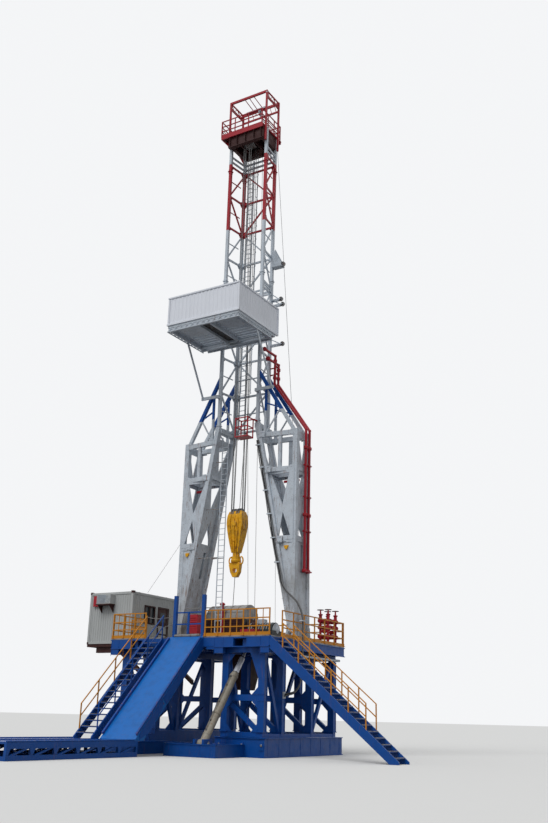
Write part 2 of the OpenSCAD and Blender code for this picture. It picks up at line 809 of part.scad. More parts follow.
module crown_platform() {
  z = crown_z;
  xl = -crown_left;
  xr = crown_right;
  yf = tower_front - 400;
  yb = tower_rear + 320;
  color(red) {
    difference() {
      span([xl, yf, z - 60], [xr, yb, z]);
      span([-450, well_y - 560, z - 61], [450, well_y + 560, z + 1]);
    }
    guard([xl, yf + 25, z], [xr - 60, yf + 25, z], 3, 1100);
    guard([xl, yb - 25, z], [xr - 60, yb - 25, z], 3, 1100);
    guard([xl + 25, yf + 25, z], [xl + 25, yb - 25, z], 2, 1100);
    guard([xr - 90, yf + 25, z], [xr - 90, yb - 25, z], 3, 1100);
    // brackets from the platform down to the legs
    for (y = [tower_front + leg_w / 2, tower_rear - leg_w / 2])
      intersection() {
        strut([xl + 60, y, z - 30], [-tower_hw + 200, y, z - 1100], 110, 90);
        span([xl, y - 100, z - 2000], [y < 0 ? -tower_hw : -rear_hw, y + 100, z - 10]);
      }
    // edge beams under the platform
    for (y = [yf, yb - 90])
      span([xl + 20, y, z - 200], [xr - 20, y + 90, z - 30]);
    span([xl + 10, yf + 10, z - 190], [xl + 100, yb - 10, z - 40]);
  }
}

module gin_frame() {
  z = crown_z;
  x = 1300;
  b = gin_bar;
  y1 = tower_front - 120;
  y2 = tower_rear - 180;
  color(red) {
    for (y = [y1, y2]) {
      // left post on the platform, right post beside it
      span([-x - b / 2, y - b / 2, z], [-x + b / 2, y + b / 2, gin_top]);
      span([x - b / 2, y - b / 2, z - 1000], [x + b / 2, y + b / 2, gin_top]);
      span([-x - b / 2, y - b / 2, gin_top - 140], [x + b / 2, y + b / 2, gin_top]);
    }
    // side trusses with two chords and lacing
    for (sx = [-x, x]) {
      for (k = [0, 330])
        span([sx - 35, y1 - 10, gin_top - 90 - k], [sx + 35, y2 + 10, gin_top - 20 - k]);
      n = 4;
      l = (y2 - y1) / n;
      for (i = [0:n - 1])
        strut([sx, y1 + i * l, gin_top - 55 - (i % 2) * 330],
          [sx, y1 + (i + 1) * l, gin_top - 55 - ((i + 1) % 2) * 330], 40, 36);
    }
    // rear cross bar and the bar between the sides that carries the hand winch line
    span([-x, y2 - 40, gin_top - 700], [x, y2 + 40, gin_top - 600]);
    span([-x, -40, gin_top - 520], [x, 40, gin_top - 430]);
    span([-x - 30, y1, gin_top - 510], [-x + 30, y2, gin_top - 440]);
    span([x - 30, y1, gin_top - 510], [x + 30, y2, gin_top - 440]);
  }
}

module crown_sheaves() {
  r = sheave_d / 2;
  w = sheave_w;
  half = sheave_n * w / 2;
  color(steel)
    translate([0, well_y, shaft_z])
      rotate([0, 90, 0]) {
        translate([0, 0, -520]) cylinder(h = 1040, r = 60);
        translate([0, 0, -half - 60]) cylinder(h = 2 * half + 120, r = 95);
        for (i = [0:sheave_n - 1])
          translate([0, 0, (i - (sheave_n - 1) / 2) * w])
            rotate_extrude()
              polygon([[60, -55], [r, -55], [r, -45], [r - groove, -12], [r - groove, 12],
                [r, 45], [r, 55], [60, 55]]);
      }
}

module drilling_lines() {
  // from the grooves at both sides of the crown sheaves to both sides of the block
  color(steel)
    for (s = [-1, 1], i = [-2, -1, 1, 2])
      pipe([s * block_w * 0.36, well_y + i * 62, block_top + 3 * seat],
        [i * sheave_w, well_y + s * (sheave_d / 2 - groove + line_d / 2 + 2 * seat), shaft_z], line_d / 2);
}

module travelling_block() {
  h = 2180;
  zb = block_top - h;
  w = block_w / 2;
  d = block_d / 2;
  color(yellow) {
    intersection() {
      translate([-w, well_y, zb])
        rotate([90, 0, 90])
          linear_extrude(2 * w)
            polygon([[-d * 0.55, 0], [-d * 0.9, 900], [-d, 1600], [-d * 0.95, 1950], [-d * 0.7, h],
              [d * 0.7, h], [d * 0.95, 1950], [d, 1600], [d * 0.9, 900], [d * 0.55, 0]]);
      translate([0, well_y + 500, zb])
        rotate([90, 0, 0])
          linear_extrude(1000)
            polygon([[-200, 0], [-w * 0.62, 420], [-w * 0.9, 1150], [-w, 1500], [-w * 0.98, 1750],
              [-w * 0.92, 1960], [-w * 0.8, h], [w * 0.8, h], [w * 0.92, 1960], [w * 0.98, 1750],
              [w, 1500], [w * 0.9, 1150], [w * 0.62, 420], [200, 0]]);
    }
    translate([0, well_y, zb - 200]) cylinder(h = 210, r = 190);
  }
}

module hook() {
  z = block_top - 2180 - 200;
  color(yellow)
    translate([0, well_y, 0]) {
      translate([0, 0, z - 300]) cylinder(h = 300 - seat, r = 250);
      translate([0, 130, z - 300])
        rotate([90, 0, 0])
          linear_extrude(260)
            difference() {
              polygon([[-250, 10], [-360, -120], [-260, -500], [-120, -750], [120, -750],
                [260, -500], [300, -120], [250, 10]]);
              translate([0, -430]) circle(r = 130);
            }
    }
}

module racking_board() {
  z = board_z;
  xf = board_hw;
  out_z = waist_z + outrigger_h;
  color(grey) {
    difference() {
      span([-xf, board_front, z], [xf, tower_front, z + 140]);
      // fingers with slots between them on both sides of the walkway
      for (i = [0:8], s = [-1, 1])
        span([s < 0 ? -xf + 350 : 450, board_front + 500 + i * 300, z - 1],
          [s < 0 ? -450 : xf - 350, board_front + 680 + i * 300, z + 141]);
      // room for the travelling block
      span([-1000, tower_front - 270, z - 1], [1000, tower_front + 1, z + 141]);
    }
    // beams under the edges and under the walkway
    for (y = [board_front + 20, board_front + 3150])
      span([-xf + 20, y, z - 200], [xf - 20, y + 120, z + 20]);
    for (x = [-xf + 40, -420, 300, xf - 160])
      span([x, board_front + 40, z - 170], [x + 120, board_front + 3200, z + 10]);
    // outriggers on the tower legs and the struts that stand on them
    both() {
      span([tower_hw - leg_w, -1010, out_z], [tower_hw, tower_front, out_z + 170]);
      span([tower_hw - leg_w, -1090, out_z], [2340, -1010, out_z + 170]);
      intersection() {
        strut([2270, -1050, out_z + 50], [2270, -2900, z + 60], 120, 120);
        span([2000, -4000, out_z], [xf, 0, z + 20]);
      }
    }
  }
}

module wind_walls() {
  z = board_z + 140;
  t = 60;
  color([0.85, 0.86, 0.88]) {
    span([-board_hw, board_front, z], [board_hw, board_front + t, z + board_wall - 140]);
    for (x = [-board_hw, board_hw - t])
      span([x, board_front, z], [x + t, tower_front + 200, z + board_wall - 140]);
  }
}

module ladder() {
  // upper run on the rear side of the tower, held to its level bars
  xu = -700;
  y = tower_rear;
  p = panel_h;
  n2 = floor((crown_z - waist_z) / 300) - 4;
  // lower run from the drill floor to the waist, upright behind the front members
  xl = -1000;
  yl = -450;
  zt = waist_z - 400;
  n1 = floor((zt - floor_h) / 300);
  color(grey) {
    for (dx = [-190, 190]) {
      span([xu + dx - 20, y, waist_z - 300], [xu + dx + 20, y + 60, crown_z - girder_h - 160]);
      for (i = [0:panel_n])
        span([xu + dx - 20, y - leg_w / 2 + 45, waist_z + i * p + 30],
          [xu + dx + 20, y + 10, waist_z + i * p + 90]);
      span([xl + dx - 16, yl - 25, floor_h], [xl + dx + 16, yl + 25, zt]);
    }
    for (i = [1:n2])
      span([xu - 190, y + 15, waist_z + i * 300 - 100], [xu + 190, y + 45, waist_z + i * 300 - 70]);
    for (i = [1:n1])
      span([xl - 190, yl - 14, floor_h + i * 300 - 60], [xl + 190, yl + 14, floor_h + i * 300 - 32]);
  }
}

module standpipes() {
  x = foot_hw + pipe_gap;
  xt = tower_hw + 330;
  zf = floor_h + pipe_foot;
  color(red) {
    for (k = [0, 1]) {
      y = 180 + k * 380;
      zt = shoulder_z + 130;
      z2 = waist_z + 2500 + k * 60;
      z3 = z2 + 1650 - k * 480;
      pts = [[x, y, zf], [x, y, zt], [xt, y, z2], [xt, y, z3], [xt, y - 1150, z3]];
      for (i = [0:3])
        pipe(pts[i], pts[i + 1], pipe_r);
      for (i = [1:4])
        translate(pts[i]) sphere(r = pipe_r + 14);
      pipe([x, y, zf], [x, y, zf + 80], pipe_r + 40);
      for (z = [2000, 3800, 5500])
        span([foot_hw, y - 90, zf + z], [x + 85, y + 90, zf + z + 90]);
    }
    // stays from the rear leg of the tower
    for (z = [waist_z + 3150, waist_z + 3550]) {
      span([rear_hw, 480, z], [xt, 540, z + 60]);
      span([xt - 30, 180, z + 5], [xt + 30, 560, z + 55]);
    }
  }
}

module stabbing_board() {
  z = waist_z - 950;
  h = 1080;
  color(red) {
    span([430, -1750, z], [1230, -1150, z + 60]);
    for (x = [430, 1180], y = [-1750, -1200])
      span([x, y, z], [x + 50, y + 50, z + h]);
    for (k = [h - 50, h / 2]) {
      for (y = [-1750, -1200])
        span([430, y, z + k], [1230, y + 50, z + k + 50]);
      for (x = [430, 1180])
        span([x, -1750, z + k], [x + 50, -1150, z + k + 50]);
    }
    span([1180, -1210, z + h - 50], [1300, tower_front, z + h]);
  }
}

translate(shift) base_left();
translate(shift) base_right();
translate(shift) cross_beams();
translate(shift) frame_left();
translate(shift) frame_right();
translate(shift) floor_beams();
translate(shift) deck();
translate(shift) rotary_table();
translate(shift) ramp();
translate(shift) v_door_gate();
translate(shift) catwalk();
translate(shift) stair_left();
translate(shift) stair_right();
translate(shift) handrails_left();
translate(shift) handrails_right();
translate(shift) railing_front();
translate(shift) railing_right();
translate(shift) railing_rear();
translate(shift) railing_left();
translate(shift) doghouse_base();
translate(shift) doghouse_walls();
translate(shift) doghouse_roof();
translate(shift) doghouse_door();
translate(shift) cooling_unit();
translate(shift) drawworks();
translate(shift) manifold();
translate(shift) cylinder_left();
translate(shift) cylinder_right();
translate(shift) mast_leg_left();
translate(shift) mast_leg_right();
translate(shift) tower_left();
translate(shift) tower_right();
translate(shift) tower_back();
translate(shift) crown_beams();
translate(shift) crown_platform();
translate(shift) gin_frame();
translate(shift) crown_sheaves();
translate(shift) drilling_lines();
translate(shift) travelling_block();
translate(shift) hook();
translate(shift) racking_board();
translate(shift) wind_walls();
translate(shift) ladder();
translate(shift) standpipes();
translate(shift) stabbing_board();
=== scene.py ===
"""Finishes and fine pieces of a land drilling rig, laid over its CAD frame.

Places are written in the rig's own metres: X across the front of the drill floor from the middle of the
mast, Y from the line through the mast, with the ramp towards -Y, and Z up from the ground.
"""

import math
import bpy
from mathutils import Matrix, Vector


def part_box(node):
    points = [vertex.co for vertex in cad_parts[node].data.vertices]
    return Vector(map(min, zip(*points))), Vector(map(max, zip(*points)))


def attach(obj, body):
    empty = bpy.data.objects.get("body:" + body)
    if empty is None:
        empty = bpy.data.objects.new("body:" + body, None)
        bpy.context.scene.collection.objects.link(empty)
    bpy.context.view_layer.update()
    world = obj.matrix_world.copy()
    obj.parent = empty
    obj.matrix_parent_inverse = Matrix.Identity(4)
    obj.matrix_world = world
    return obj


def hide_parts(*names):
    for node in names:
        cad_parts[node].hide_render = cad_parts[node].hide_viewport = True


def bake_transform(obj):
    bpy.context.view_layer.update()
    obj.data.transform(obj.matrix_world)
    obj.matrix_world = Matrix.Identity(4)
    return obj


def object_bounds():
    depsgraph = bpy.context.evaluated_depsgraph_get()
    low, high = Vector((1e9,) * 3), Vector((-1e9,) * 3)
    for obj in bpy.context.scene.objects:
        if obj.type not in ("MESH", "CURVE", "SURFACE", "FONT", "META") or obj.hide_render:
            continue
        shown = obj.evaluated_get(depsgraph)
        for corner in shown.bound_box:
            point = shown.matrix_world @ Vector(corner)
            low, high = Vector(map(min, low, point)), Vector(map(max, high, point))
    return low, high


bl_info = {
    "name": "Land drilling rig finisher",
    "version": (1, 0, 0),
    "blender": (4, 5, 0),
    "location": "View3D > Sidebar > Rig",
    "description": "Paints the rig's solids and adds its sheets, fittings, ropes and small parts",
    "category": "Add Mesh",
}

import bpy
import numpy as np
from bpy.props import FloatProperty, FloatVectorProperty, PointerProperty
from mathutils import Matrix

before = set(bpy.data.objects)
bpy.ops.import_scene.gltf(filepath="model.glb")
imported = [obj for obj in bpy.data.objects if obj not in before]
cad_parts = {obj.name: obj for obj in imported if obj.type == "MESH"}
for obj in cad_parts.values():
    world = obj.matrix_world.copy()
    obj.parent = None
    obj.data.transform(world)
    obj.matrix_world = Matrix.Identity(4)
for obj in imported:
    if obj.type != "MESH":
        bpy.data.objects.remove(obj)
CAD_BOX = np.array([list(corner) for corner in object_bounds()])
SKIN = 0.001  # how far inside the box of the solids every added piece ends

DECK_LOW, DECK_HIGH = (np.array(corner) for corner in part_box("deck"))
FLOOR = DECK_HIGH[2]
FRONT = -4.47
REAR = FRONT + DECK_HIGH[1] - DECK_LOW[1]
SIDE = (DECK_HIGH[0] - DECK_LOW[0]) / 2
HOME = np.array([(DECK_LOW[0] + DECK_HIGH[0]) / 2, DECK_LOW[1] - FRONT, 0.0])
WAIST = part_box("tower_right")[0].z
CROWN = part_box("crown_platform")[1].z - 1.1
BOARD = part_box("wind_walls")[0].z
CABIN_LOW, CABIN_HIGH = (np.array(corner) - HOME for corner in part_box("doghouse_walls"))
WELL = -0.5  # y of the well's middle, under the block
GATE = (-2.5, 1.0)  # x of the gap in the front rail, over the left stair and the ramp
# plan places of the right front and right rear members, at the floor and from the waist up
LEG_FEET = np.array([(3.45, -0.49), (3.45, 0.85)])
TOWER_LEGS = np.array([(1.25, -0.80), (1.08, 0.50)])
X, Y, Z = np.eye(3)
BOTH_WAYS = (-1, 1)


def linear(hex_colour):
    """Linear red, green and blue of an sRGB hex colour: c/12.92 below 0.04045, else ((c+0.055)/1.055)^2.4."""
    srgb = np.array([int(hex_colour[i:i + 2], 16) for i in (0, 2, 4)]) / 255
    return tuple(np.where(srgb <= 0.04045, srgb / 12.92, ((srgb + 0.055) / 1.055) ** 2.4))


def swatch(name, hex_colour, description):
    """A colour property whose default is an sRGB hex colour."""
    return FloatVectorProperty(name=name, description=description, subtype="COLOR", size=3,
                               min=0, max=1, default=linear(hex_colour))


def metres(name, default, low, high, description):
    """A length property."""
    return FloatProperty(name=name, description=description, default=default, min=low, max=high,
                         unit="LENGTH")


def degrees(name, default, description):
    """An angle property whose default is given in degrees."""
    return FloatProperty(name=name, description=description, default=math.radians(default), subtype="ANGLE")


class RigPaints(bpy.types.PropertyGroup):
    """Colours of the rig's paints and bare materials."""

    structure: swatch("Structure blue", "054A98", "Enamel of the substructure, floor beams and stairs")
    ramp: swatch("Ramp blue", "0A66B6", "Brighter enamel of the ramp plate")
    rail: swatch("Rail orange", "C98420", "Safety enamel of the guard rails")
    mast: swatch("Mast grey", "C8D1DA", "Pale blue-grey enamel of the mast")
    band: swatch("Band red", "AC2532", "Warning band and crown enamel")
    block: swatch("Hoisting yellow", "EBAC18", "Enamel of the travelling block and hook")
    dark: swatch("Undercoat brown", "3B1E1D", "Dark primer of the crown beams and frames")
    sheet: swatch("Wind wall white", "EAEEF6", "Coated sheet of the wind walls")
    cabin: swatch("Cabin grey", "B4B7B6", "Coated ribbed sheet of the cabin")
    barrel: swatch("Cylinder beige", "969082", "Enamel of the raising cylinder barrels")
    steel: swatch("Worn steel", "7C7D7E", "Bare rolled steel plate")
    rust: swatch("Rust", "7A4A2B", "Rust runs and scraped places")


class RigSizes(bpy.types.PropertyGroup):
    """Sizes of the fine parts."""

    rope: metres("Winch rope", 0.022, 0.012, 0.04, "Diameter of the winch ropes")
    hose: metres("Hose", 0.06, 0.03, 0.09, "Outside diameter of a service hose")
    bolt: metres("Bolt head", 0.046, 0.03, 0.07, "Width of a bolt head across its flats")
    gusset: metres("Gusset", 0.26, 0.15, 0.35, "Side of a gusset plate at a tower joint")
    rib: metres("Cabin rib", 0.16, 0.1, 0.3, "Spacing of the pressed ribs of the cabin sheet")
    wall_rib: metres("Wall rib", 0.25, 0.15, 0.4, "Spacing of the ribs of the wind walls")


class RigView(bpy.types.PropertyGroup):
    """The camera and the light."""

    azimuth: degrees("Azimuth", 31.333, "Turn of the camera to the right of the front")
    pitch: degrees("Pitch", 18.506, "Upward tilt of the camera")
    roll: degrees("Roll", 1.481, "Roll of the camera about its own axis")
    place: FloatVectorProperty(name="Place", description="Camera position in the rig's own metres",
                               default=(26.247, -40.201, 1.67), subtype="TRANSLATION")
    lens: FloatProperty(name="Lens", description="Focal length on a 36 mm long side, in millimetres",
                        default=39.97, min=20, max=120)
    sky: FloatProperty(name="Sky", description="Strength of the even light", default=0.62, min=0, max=2)
    sun: FloatProperty(name="Sun", description="Strength of the directed light", default=1.35, min=0, max=5)


# Surfaces worked out with numpy

def unit(vector):
    """The vector divided by its length."""
    vector = np.asarray(vector, float)
    return vector / np.linalg.norm(vector)


def places(x, y, z):
    """Points from their coordinates, where a single number serves for all of them."""
    return np.stack(np.broadcast_arrays(x, y, z), -1).astype(float)


def placed(box):
    """The corners of a solid's box in the rig's own metres."""
    return np.array([list(corner) for corner in box]) - HOME


def prism_faces(base, k):
    """Faces of a prism: its lower outline of k points starts at point base, and its upper outline follows."""
    j = np.arange(k)
    side = np.stack([j, (j + 1) % k, (j + 1) % k + k, j + k], 1) + base
    return side.tolist() + [list(range(base + k - 1, base - 1, -1)), list(range(base + k, base + 2 * k))]


def tube_faces(n, steps):
    """Faces of a closed tube of n rings: quad (i, j) joins ring i to i + 1, and a face closes each end."""
    i, j = np.meshgrid(np.arange(n - 1), np.arange(steps), indexing="ij")
    k = (j + 1) % steps
    quads = np.stack([i * steps + j, i * steps + k, (i + 1) * steps + k, (i + 1) * steps + j], -1)
    ends = [list(range(steps - 1, -1, -1)), list(range((n - 1) * steps, n * steps))]
    return quads.reshape(-1, 4).tolist() + ends


def pair_frames(start, end):
    """Unit axes across straight runs: with slope angle t and heading h of end minus start, the first axis
    is (cos t cos h, cos t sin h, -sin t), in the upright plane of the run, and the second is level."""
    run = end - start
    length = np.linalg.norm(run, axis=-1)
    t = np.arccos(np.clip(run[..., 2] / length, -1, 1))
    h = np.arctan2(run[..., 1], run[..., 0])
    across = np.stack([np.cos(t) * np.cos(h), np.cos(t) * np.sin(h), -np.sin(t)], -1)
    level = np.stack([-np.sin(h), np.cos(h), np.zeros_like(h)], -1)
    return across, level


def runs(start, end, outline):
    """Straight bars: point (i, e, j) is end e of run i plus outline_j[0] times the first axis and
    outline_j[1] times the level axis of pair_frames. The outline goes round against the clock."""
    start, end = np.atleast_2d(np.asarray(start, float)), np.atleast_2d(np.asarray(end, float))
    outline = np.asarray(outline, float)
    n, k = len(start), len(outline)
    across, level = pair_frames(start, end)
    offset = outline[None, :, :1] * across[:, None] + outline[None, :, 1:] * level[:, None]
    points = np.stack([start[:, None] + offset, end[:, None] + offset], 1).reshape(-1, 3)
    return points, [face for base in range(0, n * 2 * k, 2 * k) for face in prism_faces(base, k)]


def box_outline(w, t):
    """A rectangle w by t about the origin."""
    return [(-w / 2, -t / 2), (w / 2, -t / 2), (w / 2, t / 2), (-w / 2, t / 2)]


def round_outline(r, steps):
    """A circle of radius r in equal steps: (r cos a, r sin a)."""
    a = np.arange(steps) * 2 * np.pi / steps
    return np.stack([r * np.cos(a), r * np.sin(a)], 1)


def beam_outline(h, b, t):
    """The section of an H beam: height h, width b, flanges and web t thick."""
    return [(-h / 2, -b / 2), (-h / 2 + t, -b / 2), (-h / 2 + t, -t / 2), (h / 2 - t, -t / 2),
            (h / 2 - t, -b / 2), (h / 2, -b / 2), (h / 2, b / 2), (h / 2 - t, b / 2),
            (h / 2 - t, t / 2), (-h / 2 + t, t / 2), (-h / 2 + t, b / 2), (-h / 2, b / 2)]


def bars(start, end, w, t):
    """Square-cut bars of w by t from each start to its end; a level bar is w high and t wide."""
    return runs(start, end, box_outline(w, t))


def linked(path, w, t):
    """Square-cut bars that join each point of a path to the next one."""
    return bars(path[:-1], path[1:], w, t)


def rods(start, end, r, steps=8):
    """Round bars of radius r from each start to its end."""
    return runs(start, end, round_outline(r, steps))


def cut_boxes(corner, opposite, cut):
    """Boxes between opposite corners, their upright edges cut at 45 degrees: an eight-sided outline at both
    levels of each box."""
    corner, opposite = np.atleast_2d(np.asarray(corner, float)), np.atleast_2d(np.asarray(opposite, float))
    low, high = np.minimum(corner, opposite), np.maximum(corner, opposite)
    sx = np.array([0, 1, 1, 1, 1, 0, 0, 0])
    sy = np.array([0, 0, 0, 1, 1, 1, 1, 0])
    cx = np.array([1, -1, 0, 0, -1, 1, 0, 0]) * cut
    cy = np.array([0, 0, 1, -1, 0, 0, -1, 1]) * cut
    x = np.where(sx, high[:, :1], low[:, :1]) + cx
    y = np.where(sy, high[:, 1:2], low[:, 1:2]) + cy
    points = np.stack([places(x, y, low[:, 2:]), places(x, y, high[:, 2:])], 1).reshape(-1, 3)
    return points, [face for base in range(0, len(low) * 16, 16) for face in prism_faces(base, 8)]


def swept(path, radius, steps=8):
    """A round tube along a path: point (i, j) is path_i + r (cos a_j) u_i + r (sin a_j) v_i, where u and v
    stand square to the path and are carried from one point to the next with no twist."""
    path = np.asarray(path, float)
    tangent = np.gradient(path, axis=0)
    tangent /= np.linalg.norm(tangent, axis=1)[:, None]
    u = np.empty_like(path)
    seed = np.cross(tangent[0], [0.31, 0.17, 0.93])
    for i, t in enumerate(tangent):
        seed = unit(seed - t * seed.dot(t))
        u[i] = seed
    v = np.cross(tangent, u)
    ring = round_outline(1, steps)
    radius = np.broadcast_to(np.asarray(radius, float), len(path))[:, None, None]
    points = path[:, None] + radius * (ring[None, :, :1] * u[:, None] + ring[None, :, 1:] * v[:, None])
    return points.reshape(-1, 3), tube_faces(len(path), steps)


def smooth_path(points, steps):
    """A smooth curve through given points, the cubic whose slope at each point is half the step between its
    neighbours: p = (2t^3-3t^2+1) a + (t^3-2t^2+t) m + (3t^2-2t^3) b + (t^3-t^2) n."""
    p = np.asarray(points, float)
    m = np.gradient(p, axis=0)
    t = np.linspace(0, 1, steps, endpoint=False)[None, :, None]
    a, b, ma, mb = p[:-1, None], p[1:, None], m[:-1, None], m[1:, None]
    curve = ((2 * t**3 - 3 * t**2 + 1) * a + (t**3 - 2 * t**2 + t) * ma
             + (3 * t**2 - 2 * t**3) * b + (t**3 - t**2) * mb)
    return np.concatenate([curve.reshape(-1, 3), p[-1:]])


def turned(outline, centre, axis, steps=20):
    """A closed turned shape: an outline of (distance along the axis, radius) carried round the axis, with a
    flat face at each end."""
    outline, axis = np.asarray(outline, float), unit(axis)
    u = unit(np.cross(axis, [0.2, 0.9, 0.3] if abs(axis[1]) < 0.9 else X))
    ring = round_outline(1, steps) @ np.array([u, np.cross(axis, u)])
    points = np.asarray(centre) + outline[:, None, :1] * axis + outline[:, None, 1:] * ring[None]
    return points.reshape(-1, 3), tube_faces(len(outline), steps)


def capped(outline):
    """A turned outline closed at both ends down to a radius of 1 mm, which makes it solid."""
    return [(outline[0][0], 0.001), *outline, (outline[-1][0], 0.001)]


def plates(corners, normal, thick):
    """Flat plates: each polygon of corners is carried half its thickness to both sides along its normal."""
    normal = unit(normal) * thick / 2
    points, faces, base = [], [], 0
    for ring in corners:
        ring = np.asarray(ring, float)
        turn = np.cross(ring - ring.mean(0), np.roll(ring, -1, 0) - ring.mean(0)).sum(0)
        if turn.dot(normal) < 0:
            ring = ring[::-1]
        points.append(np.concatenate([ring - normal, ring + normal]))
        faces += prism_faces(base, len(ring))
        base += 2 * len(ring)
    return np.concatenate(points), faces


def plate_x(x, corners, thick):
    """An upright plate across X at x, from its corners (y, z)."""
    return plates([[(x, y, z) for y, z in corners]], X, thick)


def plate_y(y, corners, thick):
    """An upright plate across Y at y, from its corners (x, z)."""
    return plates([[(x, y, z) for x, z in corners]], Y, thick)


def tapered(middle, low, high, low_half, high_half):
    """Corners of a plate, low_half to both sides of its middle at the low level and high_half above."""
    return [(middle - low_half, low), (middle + low_half, low), (middle + high_half, high),
            (middle - high_half, high)]


def ribbed_outline(length, pitch, depth):
    """The section of a ribbed sheet along its length: each pitch holds a flat, a slope up, a crest and a
    slope down; the back runs the same way one thickness behind."""
    n = max(1, round(length / pitch))
    pitch = length / n
    thick, flat, slope = 0.004, 0.55, 0.12
    crest = 1 - flat - 2 * slope
    u = np.cumsum([0, flat / 2, slope, crest, slope])
    x = (np.arange(n)[:, None] * pitch + u[None] * pitch).ravel()
    y = np.tile([0, 0, depth, depth, 0], n)
    x, y = np.append(x, length), np.append(y, 0)
    return np.concatenate([np.stack([x, y], 1), np.stack([x, y - thick], 1)[::-1]])


def ribbed_wall(a, b, low, high, pitch, depth):
    """An upright ribbed sheet over the plan line from a to b, its ribs on the right-hand side of it."""
    a, b = np.asarray(a, float), np.asarray(b, float)
    along = unit(b - a)
    out = np.array([along[1], -along[0]])
    section = ribbed_outline(np.linalg.norm(b - a), pitch, depth)
    return runs((0, 0, low), (0, 0, high), a + section[:, :1] * along + section[:, 1:] * out)


def angle_post(corner, low, high, leg, thick, sx, sy):
    """An upright angle section round a corner, its legs towards sx and sy."""
    outline = np.array([(0, 0), (leg, 0), (leg, thick), (thick, thick), (thick, leg), (0, leg)]) * [sx, sy]
    if sx * sy < 0:
        outline = outline[::-1]
    return runs((*corner, low), (*corner, high), outline)


def hex_heads(points, normal, width, height=0.022):
    """Hexagonal bolt heads: a six-sided outline on each point, raised along the normal."""
    points = np.atleast_2d(np.asarray(points, float))
    return runs(points, points + unit(normal) * height, round_outline(width / 1.732, 6))


def grating(low, high, pitch, bar, depth):
    """An open floor grating: bearing bars along X, side by side at a pitch."""
    across = np.arange(low[1], high[1], pitch)
    return bars(places(low[0], across, low[2]), places(high[0], across, low[2]), depth, bar)


def slats(x0, x1, y, levels, section):
    """Louvre slats from x0 to x1, one at each level."""
    return runs(places(x0, y, levels), places(x1, y, levels), section)


def sheave(centre, axis, radius, width):
    """A rope sheave with its groove, turned about its pin."""
    w, hub, groove = width / 2, radius * 0.3, radius * 0.12
    half = [(-w * 1.3, hub), (-w * 0.5, hub), (-w * 0.5, radius * 0.8), (-w, radius * 0.82),
            (-w, radius), (-w * 0.3, radius - groove)]
    return turned(capped(half + [(-along, across) for along, across in half[::-1]]), centre, axis)


def mirrored(part):
    """The same part on the other side of the mast, x turned to -x and each face turned round."""
    points, faces = part
    return points * [-1, 1, 1], [face[::-1] for face in faces]


def both(parts):
    """The parts, and the same parts on the other side of the mast."""
    return parts + [mirrored(part) for part in parts]


def lean_point(k, z):
    """Plan place of the leaning member of the right lower leg at level z, front for k 0 and rear for k 1."""
    return LEG_FEET[k] + (TOWER_LEGS[k] - LEG_FEET[k]) * (z - FLOOR - 0.2) / (WAIST - FLOOR - 0.18)


def piece(name, parts, key, body="rig", hides=()):
    """One object made of several parts, in the rig's place and with the finish of that key. It rides on its
    body, or where body is two bodies and two points, it is only fixed in place and rides on neither."""
    points, faces, base = [], [], 0
    for p, f in parts:
        points.append(p)
        faces += [[i + base for i in face] for face in f]
        base += len(p)
    mesh = bpy.data.meshes.new(name)
    # nothing may pass the box of the solids: what would is brought in under its surface
    place = np.clip(np.concatenate(points) + HOME, CAD_BOX[0] + SKIN, CAD_BOX[1] - SKIN)
    mesh.from_pydata(place, [], faces)
    obj = bpy.data.objects.new(name, mesh)
    bpy.context.scene.collection.objects.link(obj)
    slot, material = finish(key)
    mesh.materials.append(material)
    if isinstance(body, tuple):
        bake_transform(obj)
    else:
        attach(obj, body)
    if hides:
        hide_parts(*hides)
    return obj


# Finishes

def put(owner, kind, inputs=None, out=0, **settings):
    """Adds a node with its settings, gives each input its value or its link, and returns an output."""
    node = owner.node_tree.nodes.new("ShaderNode" + kind)
    for key, value in settings.items():
        setattr(node, key, value)
    for key, value in (inputs or {}).items():
        socket = node.inputs[key]
        if isinstance(value, bpy.types.NodeSocket):
            owner.node_tree.links.new(value, socket)
        elif socket.type == "RGBA":
            socket.default_value = (*value, 1.0)
        else:
            socket.default_value = value
    return node.outputs[out] if len(node.outputs) else None


def emptied(owner):
    """A new material or world with no node in it."""
    owner.use_nodes = True
    owner.node_tree.nodes.clear()
    return owner


def blank(name):
    """A new material, and the place in metres that its patterns follow."""
    mat = emptied(bpy.data.materials.new(name))
    return mat, put(mat, "TexCoord", out="Object")


def shade(colour, factor, lift=0.0):
    """A colour times a factor, lifted by a little grey."""
    return tuple(factor * c + lift for c in colour)


def over(owner, base, top, weight, amount=1.0):
    """The top colour laid over the base: weight times amount is 0 for the base alone and 1 for the top."""
    share = put(owner, "Math", {0: weight, 1: amount}, operation="MULTIPLY")
    return put(owner, "Mix", {0: share, 6: base, 7: top}, 2, data_type="RGBA")


def spots(mat, place, size_mm, low, high, detail=4.0, stretch=(1, 1, 1), seed=0.0):
    """0 to 1 in soft patches about size_mm across: noise, then its range from low to high spread out."""
    moved = put(mat, "Mapping", {0: place, "Location": (seed, seed * 0.7, seed * 0.3), "Scale": stretch})
    grain = {"Vector": moved, "Scale": 1000 / size_mm, "Detail": detail, "Roughness": 0.6}
    noise = put(mat, "TexNoise", grain)
    return put(mat, "MapRange", {0: noise, 1: low, 2: high}, interpolation_type="SMOOTHSTEP")


def past(mat, place, axis, edge):
    """1 where the place along an axis is more than edge, else 0."""
    along = put(mat, "SeparateXYZ", {0: place}, axis)
    return put(mat, "Math", {0: along, 1: edge}, operation="GREATER_THAN")


def orange_peel(mat, place, chip=0.0):
    """Height of a sprayed coat: a skin about 12 mm across, drawn coarser than the real 2 mm, less chips."""
    peel = put(mat, "TexNoise", {"Vector": place, "Scale": 80.0, "Detail": 2.0})
    return put(mat, "Math", {0: peel, 1: chip}, operation="SUBTRACT")


